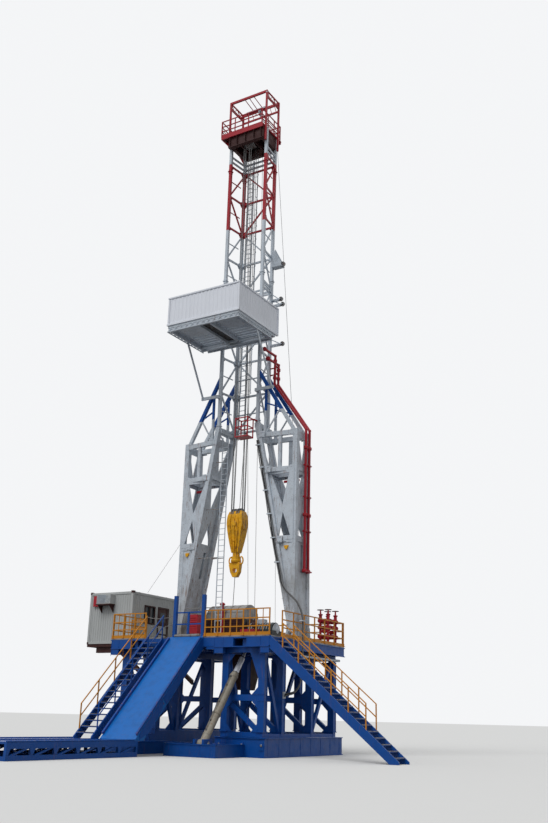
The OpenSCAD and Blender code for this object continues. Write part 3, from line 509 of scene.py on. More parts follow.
SHEEN = 0.22  # half-dulled paint: less mirror light than a fresh coat's 0.5
PAINT = 1.5  # refraction of a paint's binder
PEEL_DEPTH = 0.12  # strength of the bump that a paint's skin gives


def close(mat, colour, pattern, smooth, dull, height=None, strength=0.2, distance=0.002, metallic=0.0,
          ior=None):
    """Ends a material in its shader. Its roughness runs from smooth where the pattern is 0 to dull where it
    is 1, and it has a bump from height where there is one. A metal gives no ior."""
    roughness = put(mat, "MapRange", {0: pattern, 3: smooth, 4: dull})
    inputs = {"Base Color": colour, "Metallic": metallic, "Roughness": roughness}
    if ior:
        inputs |= {"IOR": ior, "Specular IOR Level": SHEEN}
    if height is not None:
        inputs["Normal"] = put(mat, "Bump", {"Height": height, "Strength": strength, "Distance": distance})
    put(mat, "OutputMaterial", {0: put(mat, "BsdfPrincipled", inputs)})
    return mat


def weather(mat, place, colour, paints, fade, rust, dust, seed):
    """What weather does to a sprayed enamel: broad fading about 1.4 m across, thin runs of rust and dirt that
    hang down about 60 mm wide, and chips about 45 mm across down to the rust."""
    grey = shade(colour, 0.8, 0.025)
    faded = tuple((1 - fade * 2) * c + fade * 2 * g for c, g in zip(colour, grey))
    tint = over(mat, colour, faded, spots(mat, place, 1400, 0.35, 0.75, seed=seed))
    run = spots(mat, place, 60, 0.52, 0.74, 5.0, (1, 1, 0.06), seed + 3)
    where = spots(mat, place, 900, 0.44, 0.62, 2.0, seed=seed + 5)
    tint = over(mat, tint, paints.rust, put(mat, "Math", {0: run, 1: where}, operation="MULTIPLY"), rust)
    chip = spots(mat, place, 45, 0.635, 0.67, 3.0, seed=seed + 9)
    chip = put(mat, "Math", {0: chip, 1: rust}, operation="MULTIPLY")
    tint = over(mat, tint, shade(paints.rust, 0.6), chip)
    dirt = spots(mat, place, 320, 0.42, 0.72, 5.0, seed=seed + 13)
    return over(mat, tint, shade(colour, 0.45, 0.005), dirt, dust * 0.35), chip


def sprayed_enamel(name, colour, paints, roughness, rust, fade, dust, seed):
    """Alkyd enamel sprayed on blasted steel: a semi-gloss coat with an orange-peel skin, faded in broad
    patches, with runs of rust and dirt."""
    mat, place = blank(name)
    tint, chip = weather(mat, place, colour, paints, fade, rust, dust, seed)
    patch = spots(mat, place, 260, 0.3, 0.8, seed=seed + 21)
    peel = orange_peel(mat, place, chip)
    return close(mat, tint, patch, roughness - 0.08, roughness + 0.16, peel, PEEL_DEPTH, ior=PAINT)


def banded_enamel(name, paints):
    """The tower's warning colours, sprayed enamel as on the mast: pale grey, red between the two levels of
    the band and pale above, with the same weathering over both."""
    mat, place = blank(name)
    low, high = (past(mat, place, 2, level) for level in (28.95, 33.45))
    red = put(mat, "Math", {0: low, 1: high}, operation="SUBTRACT")
    run = spots(mat, place, 60, 0.5, 0.76, 5.0, (1, 1, 0.06), 3)
    stained = tuple(0.5 * c + 0.5 * r for c, r in zip(paints.mast, paints.rust))
    tint = over(mat, over(mat, paints.mast, stained, run, 0.5),
                over(mat, paints.band, shade(paints.band, 0.45), run, 0.4), red)
    dirt = spots(mat, place, 300, 0.5, 0.8, 5.0, seed=2)
    tint = over(mat, tint, (0.09, 0.08, 0.075), dirt, 0.3)
    return close(mat, tint, dirt, 0.36, 0.6, orange_peel(mat, place), PEEL_DEPTH, ior=PAINT)


def two_enamels(name, first, second, axis, edge, paints, seed):
    """Sprayed enamel in two colours with a masked edge: the second colour where the place along the axis is
    more than edge, under the same chips and grime."""
    mat, place = blank(name)
    mean = tuple((a + b) / 2 for a, b in zip(first, second))
    worn, chip = weather(mat, place, mean, paints, 0.0, 0.5, 0.0, seed)
    tint = over(mat, over(mat, first, second, past(mat, place, axis, edge)), worn, chip)
    grime = spots(mat, place, 420, 0.4, 0.8, 5.0, seed=seed + 4)
    tint = over(mat, tint, (0.06, 0.05, 0.045), grime, 0.35)
    return close(mat, tint, grime, 0.36, 0.6, chip, PEEL_DEPTH, -0.001, ior=PAINT)


def leg_enamel(name, paints):
    """Sprayed enamel of the lower legs: pale grey, with blue shoulder braces above their level, rust runs
    under the fittings and grime towards the feet."""
    mat, place = blank(name)
    tint, chip = weather(mat, place, paints.mast, paints, 0.1, 1.3, 0.9, 4.0)
    foot = put(mat, "MapRange", {0: put(mat, "SeparateXYZ", {0: place}, 2), 1: 11.0, 2: 5.2})
    stain = spots(mat, place, 700, 0.38, 0.7, 6.0, (1, 1, 0.4), 6)
    grime = put(mat, "Math", {0: foot, 1: stain}, operation="MULTIPLY")
    tint = over(mat, tint, (0.17, 0.14, 0.11), grime, 0.95)
    braces = 17.25
    tint = over(mat, tint, paints.structure, past(mat, place, 2, braces))
    return close(mat, tint, stain, 0.36, 0.58, orange_peel(mat, place, chip), PEEL_DEPTH, ior=PAINT)


def scuffed_ramp_enamel(name, paints):
    """Enamel of the ramp plate, scraped by pipe that is dragged up it: long scratches about 25 mm wide down
    the slope, and dark patches where the coat is thin."""
    mat, place = blank(name)
    slope = put(mat, "Mapping", {0: place, "Rotation": (math.radians(-45), 0, 0), "Scale": (1, 0.05, 1)})
    scratch = put(mat, "TexNoise", {"Vector": slope, "Scale": 40.0, "Detail": 4.0})
    thin = put(mat, "MapRange", {0: scratch, 1: 0.6, 2: 0.78})
    worn = spots(mat, place, 800, 0.45, 0.8, 4.0, seed=3)
    tint, chip = weather(mat, place, paints.ramp, paints, 0.14, 0.3, 0.8, 8.0)
    tint = over(mat, tint, (0.03, 0.13, 0.27), thin, worn)
    height = put(mat, "Math", {0: thin, 1: chip}, operation="ADD")
    return close(mat, tint, worn, 0.34, 0.55, height, 0.2, -0.001, ior=PAINT)


def chequer_plate(name, paints):
    """Hot-rolled chequer plate: raised lozenges on a 60 mm pitch (drawn at twice the real 30 mm), bare and
    brown at the bottom of the pattern and bright on the walked places."""
    mat, place = blank(name)
    askew = put(mat, "Mapping", {0: place, "Rotation": (0, 0, math.radians(45)), "Scale": (16.7, 16.7, 16.7)})
    cell = put(mat, "TexVoronoi", {"Vector": askew, "Scale": 1.0, "Randomness": 0.0}, distance="CHEBYCHEV")
    lozenge = put(mat, "MapRange", {0: cell, 1: 0.34, 2: 0.24})
    grime = spots(mat, place, 500, 0.35, 0.75, 6.0)
    tint = over(mat, over(mat, paints.steel, (0.10, 0.075, 0.055), grime), (0.42, 0.42, 0.41), lozenge, 0.35)
    return close(mat, tint, grime, 0.4, 0.8, lozenge, 0.5, 0.003, 0.6)


def rolled_steel(name, paints):
    """Bare rolled steel, greased and rubbed: a metal with brown patches about 150 mm across and fine
    directionless scratches."""
    mat, place = blank(name)
    patch = spots(mat, place, 150, 0.45, 0.75, 5.0)
    scratch = put(mat, "TexNoise", {"Vector": place, "Scale": 120.0, "Detail": 3.0})
    tint = over(mat, paints.steel, shade(paints.rust, 0.5), patch)
    return close(mat, tint, patch, 0.32, 0.72, scratch, 0.1, 0.001, 0.85)


def wire_rope(name):
    """Greased wire rope: strands laid in a right-hand twist, drawn as bands 40 mm apart that climb the rope
    (coarser than the real 12 mm lay), dark in the grooves."""
    mat, place = blank(name)
    lay = put(mat, "TexWave", {"Vector": place, "Scale": 7.9, "Distortion": 0.6}, wave_type="BANDS",
              bands_direction="DIAGONAL")
    return close(mat, over(mat, (0.07,) * 3, (0.17,) * 3, lay), lay, 0.62, 0.38, lay, 0.3, 0.002, 0.75)


def raising_cylinder_finish(name, paints):
    """Enamelled barrel and hard-chromed rod on one solid: along the cylinder's slope, dirty beige enamel
    gives way to bright chrome at the barrel's length from the foot pin. The rod's near-white colour is a
    painted reflection of the bright sky on its chrome, which is given only a little metal."""
    mat, place = blank(name)
    slope = unit((3.26, 4.21))
    foot, barrel = np.array([-6.18 + HOME[1], 0.52]), 3.785
    along = put(mat, "VectorMath", {0: place, 1: (0, *slope)}, "Value", operation="DOT_PRODUCT")
    rod = put(mat, "Math", {0: along, 1: float(slope @ foot) + barrel}, operation="GREATER_THAN")
    tint, chip = weather(mat, place, paints.barrel, paints, 0.1, 0.9, 1.0, 5.0)
    tint = over(mat, tint, (0.16, 0.13, 0.1), spots(mat, place, 350, 0.4, 0.75, 6.0, (1, 0.5, 0.5)), 0.5)
    # painted reflection: near white on the rod, standing in for the bright sky mirrored in its chrome
    tint = over(mat, tint, (0.86, 0.87, 0.91), rod)
    metal = put(mat, "Math", {0: rod, 1: 0.35}, operation="MULTIPLY")
    return close(mat, tint, rod, 0.55, 0.3, chip, 0.2, -0.001, metal)


def coated_sheet(name, colour, dirt):
    """Coil-coated steel sheet, baked at the mill: an even satin coat, dulled by dust that the rain has drawn
    into soft upright streaks about 90 mm wide."""
    mat, place = blank(name)
    streak = spots(mat, place, 90, 0.45, 0.85, 4.0, (1, 1, 0.05), 2)
    cloud = spots(mat, place, 1100, 0.35, 0.75, 4.0, seed=7)
    tint = over(mat, colour, shade(colour, 0.45), streak, dirt * 0.5)
    tint = over(mat, tint, shade(colour, 0.62), cloud, dirt * 0.4)
    skin = put(mat, "TexNoise", {"Vector": place, "Scale": 6.0, "Detail": 2.0})
    return close(mat, tint, cloud, 0.36, 0.52, skin, 0.06, 0.01, ior=PAINT)


def window_glass(name):
    """Float glass, seen against a dark cabin: an opaque sheet whose dark colour is painted shade of the
    unlit cabin behind it; smooth and reflective.
    """
    mat, place = blank(name)
    film = spots(mat, place, 240, 0.4, 0.8)
    # painted shade: these dark colours stand in for the unlit cabin behind the glass
    return close(mat, over(mat, (0.02, 0.028, 0.035), (0.05, 0.06, 0.068), film), film, 0.05, 0.18, ior=1.52)


def moulded_rubber(name, colour=(0.018, 0.018, 0.02)):
    """Extruded hose rubber: matt black with a fine cloth imprint about 8 mm apart."""
    mat, place = blank(name)
    weave = put(mat, "TexNoise", {"Vector": place, "Scale": 125.0, "Detail": 2.0})
    dust = spots(mat, place, 200, 0.4, 0.75, 5.0)
    tint = over(mat, colour, (0.09, 0.085, 0.075), dust, 0.4)
    return close(mat, tint, dust, 0.68, 0.68, weave, 0.2, 0.001, ior=1.52)


def finishes(p):
    """Each finish made from the paints: a slot name, which no piece is given, and its material."""
    return {
        "structure": ("blue_paint", sprayed_enamel("structure_blue_enamel", p.structure, p, 0.4, 0.35,
                                                   0.12, 0.6, 0)),
        "ramp": ("blue_paint", scuffed_ramp_enamel("ramp_blue_enamel", p)),
        "scraped": ("blue_paint", sprayed_enamel("scraped_blue_enamel", p.structure, p, 0.45, 2.2,
                                                 0.12, 0.6, 11)),
        "stair_rail": ("orange_paint", two_enamels("stair_rail_enamel", p.rail, p.structure, 0,
                                                   -1.9 + HOME[0], p, 2)),
        "winch": ("grey_paint", two_enamels("winch_house_enamel", (0.028, 0.036, 0.04), (0.33, 0.325, 0.31),
                                            2, FLOOR + 1.42, p, 7)),
        "rail": ("orange_paint", sprayed_enamel("rail_orange_enamel", p.rail, p, 0.42, 0.5, 0.1, 0.6, 2)),
        "leg": ("grey_paint", leg_enamel("mast_grey_enamel", p)),
        "mast": ("grey_paint", sprayed_enamel("fitting_grey_enamel", p.mast, p, 0.42, 0.7, 0.1, 0.8, 6)),
        "tower": ("mast_paint", banded_enamel("tower_banded_enamel", p)),
        "red": ("red_paint", sprayed_enamel("warning_red_enamel", p.band, p, 0.4, 0.25, 0.06, 0.8, 3)),
        "dark": ("dark_paint", sprayed_enamel("undercoat_brown", p.dark, p, 0.6, 0.4, 0.1, 0.6, 5)),
        "block": ("yellow_paint", sprayed_enamel("hoisting_yellow_enamel", p.block, p, 0.4, 2.4,
                                                 0.08, 1.6, 1)),
        "sheet": ("white_sheet", coated_sheet("wind_wall_sheet", p.sheet, 0.3)),
        "cabin": ("cabin_sheet", coated_sheet("cabin_coated_sheet", p.cabin, 0.5)),
        "cylinder": ("cylinder_paint", raising_cylinder_finish("cylinder_enamel_and_painted_chrome_reflection", p)),
        "plate": ("plain_steel", chequer_plate("floor_chequer_plate", p)),
        "steel": ("plain_steel", rolled_steel("worn_rolled_steel", p)),
        "rope": ("wire_rope", wire_rope("greased_wire_rope")),
        "glass": ("dark_paint", window_glass("cabin_float_glass")),
        "rubber": ("dark_paint", moulded_rubber("hose_rubber")),
        "hose": ("dark_paint", moulded_rubber("wrapped_hose_rubber", (0.17, 0.175, 0.18))),
    }


MADE = {}


def finish(key):
    """The slot and the material of that finish; all of them are made when one is first asked for."""
    if not MADE:
        MADE.update(finishes(bpy.context.scene.rig_paints))
    return MADE[key]


NODE_FINISH = {
    "structure": ["base_left", "base_right", "cross_beams", "frame_left", "frame_right", "floor_beams",
                  "v_door_gate", "catwalk", "stair_left", "stair_right"],
    "ramp": ["ramp"],
    "stair_rail": ["handrails_left"],
    "winch": ["drawworks"],
    "rail": ["handrails_right", "railing_front", "railing_right", "railing_rear", "railing_left"],
    "leg": ["mast_leg_left", "mast_leg_right"],
    "tower": ["tower_left", "tower_right", "tower_back"],
    "mast": ["racking_board", "ladder"],
    "red": ["crown_platform", "gin_frame", "standpipes", "stabbing_board", "manifold"],
    "dark": ["crown_beams", "doghouse_base", "rotary_table", "doghouse_door"],
    "block": ["travelling_block", "hook"],
    "sheet": ["wind_walls"],
    "cabin": ["doghouse_walls", "doghouse_roof", "cooling_unit"],
    "cylinder": ["cylinder_left", "cylinder_right"],
    "plate": ["deck"],
    "steel": ["crown_sheaves"],
    "rope": ["drilling_lines"],
}


class RIG_OT_stage(bpy.types.Operator):
    """Lay the pale floor and set the lights and the camera"""

    bl_idname = "rig.stage"
    bl_label = "Stage, light and camera"

    def execute(self, context):
        scene, view = context.scene, context.scene.rig_view
        scene.view_settings.view_transform = "Standard"
        floor = emptied(bpy.data.materials.new("pale_floor"))
        tint = over(floor, (0.15, 0.15, 0.15), (0.72, 0.72, 0.71), background_ray(floor))
        put(floor, "OutputMaterial", {0: put(floor, "BsdfDiffuse", {0: tint})})
        mesh = bpy.data.meshes.new("floor")
        reach, corners = 900, 96
        ring = round_outline(reach, corners)
        mesh.from_pydata(places(ring[:, 0], ring[:, 1], -0.004), [], [list(range(corners))])
        mesh.materials.append(floor)
        ground = bpy.data.objects.new("floor", mesh)
        scene.collection.objects.link(ground)

        world = emptied(bpy.data.worlds.new("even_sky"))
        scene.world = world
        strength = put(world, "Mix", {0: background_ray(world), 2: view.sky, 3: 0.93})
        put(world, "OutputWorld", {0: put(world, "Background", {0: (0.975, 0.985, 1.0), 1: strength})})

        lamp = bpy.data.lights.new("soft_sun", "SUN")
        lamp.energy = view.sun
        lamp.angle = math.radians(28)
        sun = bpy.data.objects.new("soft_sun", lamp)
        sun.rotation_euler = look_along(unit([0.10, 0.62, -0.78])).to_euler()
        scene.collection.objects.link(sun)

        data = bpy.data.cameras.new("camera")
        data.lens = view.lens
        data.sensor_width = 36.0
        data.clip_end = 2000.0
        camera = bpy.data.objects.new("camera", data)
        az, tilt = view.azimuth, view.pitch
        ahead = np.array([-math.sin(az) * math.cos(tilt), math.cos(az) * math.cos(tilt), math.sin(tilt)])
        right = np.array([math.cos(az), math.sin(az), 0.0])
        up = np.cross(right, ahead)
        turned_right = right * math.cos(view.roll) + up * math.sin(view.roll)
        turned_up = up * math.cos(view.roll) - right * math.sin(view.roll)
        turn = Matrix(np.column_stack([turned_right, turned_up, -ahead]).tolist())
        camera.matrix_world = Matrix.Translation(np.array(view.place) + HOME) @ turn.to_4x4()
        scene.collection.objects.link(camera)
        scene.camera = camera
        return {"FINISHED"}


def background_ray(owner):
    """1 for a ray that shows the background, straight, in a mirror or through glass, 0 for the others."""
    ray = put(owner, "LightPath").node.outputs
    seen = put(owner, "Math", {0: ray["Is Camera Ray"], 1: ray["Is Glossy Ray"]}, operation="MAXIMUM")
    return put(owner, "Math", {0: seen, 1: ray["Is Transmission Ray"]}, operation="MAXIMUM")


def look_along(aim):
    """The turn that points an object's -Z along aim."""
    side = unit(np.cross(Z, -aim))
    return Matrix(np.column_stack([side, np.cross(-aim, side), -aim]).tolist())


class RIG_OT_paint(bpy.types.Operator):
    """Give every solid of the frame its finish"""

    bl_idname = "rig.paint"
    bl_label = "Paint the solids"

    def execute(self, context):
        left = set(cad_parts)
        for key, names in NODE_FINISH.items():
            material = finish(key)[1]
            for name in names:
                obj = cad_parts[name]
                for holder in obj.material_slots:
                    holder.material = material
                if not obj.material_slots:
                    obj.data.materials.append(material)
                left.discard(name)
        if left:
            raise RuntimeError(f"these solids have no finish: {sorted(left)}")
        return {"FINISHED"}


class RIG_OT_wind_walls(bpy.types.Operator):
    """Clad the wind walls in ribbed sheet with edge channels and frame posts"""

    bl_idname = "rig.wind_walls"
    bl_label = "Wind wall sheets"

    def execute(self, context):
        pitch, depth, gap = context.scene.rig_sizes.wall_rib, 0.02, 0.004
        low, high = placed(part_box("wind_walls"))
        x, front, rear = high[0], low[1], high[1]
        z0, z1 = low[2] + 0.09, high[2] - 0.07

        def girdle(z, height, side, side_end, ahead, reach):
            """Level bars along the left, front and right walls at height z."""
            return [bars((-side, rear, z), (-side, side_end, z), height, 0.05),
                    bars((-reach, ahead, z), (reach, ahead, z), height, 0.05),
                    bars((side, side_end, z), (side, rear, z), height, 0.05)]

        lines = (((-x, front - gap), (x, front - gap)), ((x + gap, front), (x + gap, rear)),
                 ((-x - gap, rear), (-x - gap, front)))
        piece("wind_wall_ribs", [ribbed_wall(a, b, z0, z1, pitch, depth) for a, b in lines], "sheet")
        trim = []
        for z, height in ((low[2] + 0.045, 0.1), (high[2] - 0.035, 0.08)):
            trim += girdle(z, height, x + 0.03, front - 0.03, front - 0.03, x + 0.055)
        for side in BOTH_WAYS:
            corner = side * (x + 0.034), front - 0.034
            trim.append(angle_post(corner, low[2], high[2], 0.1, 0.008, -side, 1))
            end = side * (x + 0.02), rear + 0.01
            trim.append(bars((*end, low[2]), (*end, high[2]), 0.09, 0.05))
        piece("wind_wall_edges", trim, "sheet")
        post = np.linspace(-x + 0.35, x - 0.35, 5)
        frame_bars = [runs(places(post, front + 0.1, low[2]), places(post, front + 0.1, high[2]),
                           beam_outline(0.07, 0.07, 0.008))]
        for z in (low[2] + 0.5, high[2] - 0.25):
            frame_bars += girdle(z, 0.06, x - 0.07, front + 0.09, front + 0.1, x - 0.1)
        post = np.linspace(front + 0.8, rear - 0.2, 4)
        for side in BOTH_WAYS:
            inside = side * (x - 0.09)
            frame_bars.append(bars(places(inside, post, low[2]), places(inside, post, high[2]), 0.05, 0.06))
        piece("wind_wall_frame", frame_bars, "mast")
        return {"FINISHED"}


class RIG_OT_racking(bpy.types.Operator):
    """Add the edge truss, the walkway grating, the finger latches and the plates of the racking board"""

    bl_idname = "rig.racking"
    bl_label = "Racking board fittings"

    def execute(self, context):
        low, high = placed(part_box("wind_walls"))
        front, x = low[1], high[0]
        z = BOARD - 0.14  # level of the board's floor
        chord = z - 0.205  # lower chord of the edge truss
        ahead, out = front - 0.012, x + 0.012

        def zigzag(px, py):
            """Lacing that runs up and down over the plan points px, py."""
            odd = np.arange(max(np.size(px), np.size(py))) % 2
            return linked(places(px, py, np.where(odd, z - 0.02, z - 0.19)), 0.03, 0.02)

        truss = [zigzag(np.linspace(-x + 0.06, x - 0.06, 26), ahead),
                 bars((-x, ahead, chord), (x, ahead, chord), 0.05, 0.04)]
        for px in (-out, out):
            truss += [zigzag(px, np.linspace(front + 0.06, front + 3.3, 22)),
                      bars((px, front, chord), (px, front + 3.35, chord), 0.05, 0.04)]
        piece("board_edge_truss", truss, "mast")
        walkway = grating((-0.29, front + 0.06, z - 0.02), (0.29, front + 3.3, z - 0.02), 0.06, 0.008, 0.035)
        piece("board_walkway_grating", [walkway], "steel")
        y = front + 0.44 + 0.3 * np.arange(9)
        latches, lips, rails = [], [], []
        for side in BOTH_WAYS:
            latches.append(cut_boxes(places(side * 0.47, y - 0.035, z + 0.141),
                                     places(side * 0.62, y + 0.035, z + 0.22), 0.012))
            pin = places(side * 0.54, y, z + 0.21)
            latches.append(rods(pin, pin + 0.13 * Z, 0.014, 6))
            lip = [places(side * px, y - 0.11, z + 0.125) for px in (0.46, 1.9)]
            lips.append(rods(*lip, 0.022, 6))
            near, far = front + 0.48, front + 1.5
            under = [(side * px, py, z - 0.012)
                     for px, py in ((0.6, near), (1.85, near), (1.85, far), (0.6, far))]
            lips.append(plates([under], Z, 0.006))
            post = places(side * 2.22, (-0.66, -0.9), BOARD)
            rails.append(rods(post, post + 1.1 * Z, 0.022))
        beam = [places(px, (-1.65, -1.0), z - 0.1) for px in (-2.1, 2.1)]
        lips.append(bars(*beam, 0.14, 0.08))
        piece("board_finger_latches", latches, "red")
        piece("board_finger_lips", lips, "mast")
        piece("board_end_rails", rails, "mast")
        return {"FINISHED"}


class RIG_OT_tower(bpy.types.Operator):
    """Add the gussets, leg splices, extra lacing, guide brackets and ladder cage of the tower"""

    bl_idname = "rig.tower"
    bl_label = "Tower fittings"

    def execute(self, context):
        size = context.scene.rig_sizes
        g = size.gusset
        panel = 16.7 / 8  # one of the eight panels of lacing from the waist to the crown
        level = WAIST + 0.06 + panel * np.arange(9)
        front_leg, rear_leg = TOWER_LEGS
        along = unit(rear_leg - front_leg)
        out = np.array([along[1], -along[0], 0])
        shape = np.array([(0.07, -g), (0.07 + 0.8 * g, -g * 0.3), (0.07 + 0.8 * g, g * 0.3), (0.07, g)])
        proud = 0.047  # from a leg's middle to the gusset on its outer face
        side, back, heads = [], [], []
        for z in level:
            for leg, way in ((front_leg, along), (rear_leg, -along)):
                plan = leg + shape[:, :1] * way + out[:2] * proud
                side.append(np.column_stack([plan, z + shape[:, 1]]))
                heads += [side[-1].mean(0) + k * g * Z + out * 0.006 for k in (0.6, 0.2, -0.2, -0.6)]
            ring = places(shape[:, 0] - rear_leg[0], 0.55, z + shape[:, 1])
            back += [ring, ring * [-1, 1, 1]]
        piece("tower_gussets", both([plates(side, out, 0.012), hex_heads(heads, out, size.bolt * 0.8, 0.018)])
              + [plates(back, Y, 0.012)], "tower")

        splices = []
        for z in (WAIST + 0.02, WAIST + 4 * panel + 0.5, WAIST + 8 * panel - 0.5):
            for leg in TOWER_LEGS:
                middle = np.array([*leg, z])
                splices.append(cut_boxes(middle - [0.095, 0.095, 0], middle + [0.095, 0.095, 0.3], 0.012))
                splices.append(cut_boxes(middle + [-0.13, -0.13, 0.135], middle + [0.13, 0.13, 0.165], 0.02))
                splices.append(hex_heads([middle + [dx, dy, 0.165] for dx in (-0.112, 0.112)
                                          for dy in (-0.112, 0.112)], Z, size.bolt * 0.7))
        piece("tower_splices", both(splices), "tower")

        z = level[:8] + panel / 2
        short = 0.25 * front_leg + 0.75 * rear_leg
        girts = [bars(places(*front_leg, z), places(*short, z), 0.05, 0.04)]
        rear = [bars(places(-1.0, 0.5, z[:3]), places(1.0, 0.5, z[:3]), 0.06, 0.05)]
        waist = level[4] + np.array([-0.16, 0.22])
        girts.append(bars(places(1.2, -0.74, waist), places(1.04, 0.44, waist), 0.1, 0.07))
        rear.append(bars(places(-1.0, 0.5, waist), places(1.0, 0.5, waist), 0.1, 0.07))
        piece("tower_lacing", both(girts) + rear, "tower")

        x, y = 1.16, 0.50  # outer face and middle of the right rear leg, where the brackets start
        bracket = [plate_y(y + dy, [(x, 27.8), (x, 26.45), (1.78, 26.45), (1.78, 26.62)], 0.012)
                   for dy in (-0.16, 0.16)]
        bracket.append(cut_boxes((x, y - 0.2, 26.42), (1.82, y + 0.2, 26.47), 0.01))
        wheels = [sheave((1.8, y, 26.56), Y, 0.17, 0.09)]
        for z, reach in ((24.35, 1.74), (24.0, 1.86), (21.55, 1.9)):
            beside = np.array([y - 0.1, y + 0.1])
            bracket.append(bars(places(x, beside, z), places(reach, beside, z), 0.07, 0.06))
            bracket.append(bars((x, y, z + 0.4), (reach - 0.12, y, z + 0.03), 0.05, 0.05))
            wheels.append(sheave((reach, y, z + 0.02), Y, 0.13, 0.1))
        piece("guide_brackets", bracket, "mast")
        piece("guide_sheaves", wheels, "steel")

        def cage(a, z):
            """A point of the ladder's cage at angle a round it, from the right-hand side to the left."""
            return places(-0.7 + 0.34 * np.cos(a), 0.62 + 0.62 * np.sin(a) ** 0.8, z)

        foot = WAIST + 2.6
        hoops = [swept(cage(np.linspace(0, np.pi, 9), z), 0.014, 6)
                 for z in np.arange(foot, CROWN - 1.3, 0.9)]
        strips = np.linspace(0.35, np.pi - 0.35, 4)
        hoops.append(bars(cage(strips, foot), cage(strips, CROWN - 1.4), 0.03, 0.008))
        piece("ladder_cage", hoops, "mast")
        return {"FINISHED"}


class RIG_OT_legs(bpy.types.Operator):
    """Add the foot pins, stiffeners, lifting eyes, ladder ties and hook chain of the lower legs"""

    bl_idname = "rig.legs"
    bl_label = "Lower leg fittings"

    def execute(self, context):
        bolt = context.scene.rig_sizes.bolt
        front_y, rear_y = LEG_FEET[:, 1]
        half = 0.135  # from the middle of a leg's member to its face
        grey, steel, bolts = [], [], []
        for y, face in ((front_y - half, -1), (rear_y + half, 1)):
            pin = capped([(-0.08, 0.07), (-0.05, 0.085), (0.05, 0.085), (0.06, 0.06)])
            steel.append(turned(pin, (3.4, y + face * 0.02, FLOOR + 0.45), face * Y, 16))
            grey.append(plate_y(y, tapered(3.4, FLOOR + 0.31, FLOOR + 0.8, 0.24, 0.2), 0.03))
            bolts.append(hex_heads([(3.22 + 0.12 * i, y + face * 0.015, FLOOR + 0.36) for i in range(4)],
                                   face * Y, bolt))
        for z in (6.6, 7.6, 8.6, 9.6):
            grey.append(bars((lean_point(0, z)[0] + 0.1, -0.565, z), (3.36, -0.565, z), 0.06, 0.05))
        for z in np.arange(6.0, 16.0, 1.25):
            x, y = lean_point(0, z)
            grey.append(cut_boxes((x - 0.165, y - 0.155, z), (x - 0.05, y + 0.155, z + 0.02), 0.01))
        for z in (10.24, 13.95, 15.905):
            upright = (front_y, rear_y - 0.23 * (z - FLOOR) / 10.9)
            for k, face in enumerate(BOTH_WAYS):
                x, y = lean_point(k, z)
                for px, py in ((3.35, upright[k] + face * half), (x + 0.28, y + face * half)):
                    grey.append(plate_y(py, [(px - 0.28, z - 0.17), (px + 0.12, z - 0.17),
                                             (px + 0.12, z + 0.17), (px - 0.14, z + 0.17)], 0.016))
                    heads = [(px - 0.12 + 0.07 * i, py + face * 0.008, z + dz)
                             for i in range(3) for dz in (-0.1, 0.1)]
                    bolts.append(hex_heads(heads, face * Y, bolt * 0.8, 0.018))
        yellow = [cut_boxes((2.95, -0.66, 9.84), (3.2, -0.56, 9.92), 0.02),
                  turned(capped([(-0.03, 0.08), (0.03, 0.08)]), (3.08, -0.64, 9.8), Y, 12)]
        red = [cut_boxes((2.35, 0.2, 13.42), (3.3, 0.28, 13.54), 0.02)]
        for name, parts, key in (("leg_stiffeners", grey, "leg"), ("leg_foot_pins", steel, "steel"),
                                 ("leg_lifting_eyes", yellow, "block"), ("leg_cross_bars", red, "red"),
                                 ("leg_bolts", bolts, "leg")):
            piece(name, both(parts), key)
        ties = [bars((-1.6, -0.45, 9.55), (-0.81, -0.45, 9.55), 0.045, 0.03)]
        ties += [bars((-1.19, -0.45, z), (0.1 - lean_point(0, z)[0], -0.62, z), 0.045, 0.03)
                 for z in (7.0, 9.6, 12.2, 14.8)]
        piece("ladder_ties", ties, "steel")
        a = np.linspace(0, 2 * np.pi, 11)
        link = places(0.028 * np.cos(a), 0, 0.055 * np.sin(a))
        chain = [swept(link[:, [1, 0, 2] if i % 2 else [0, 1, 2]] + [2.95, -0.36, 13.1 - i * 0.085], 0.009, 5)
                 for i in range(14)]
        piece("leg_hook_chain", chain, "steel")
        return {"FINISHED"}


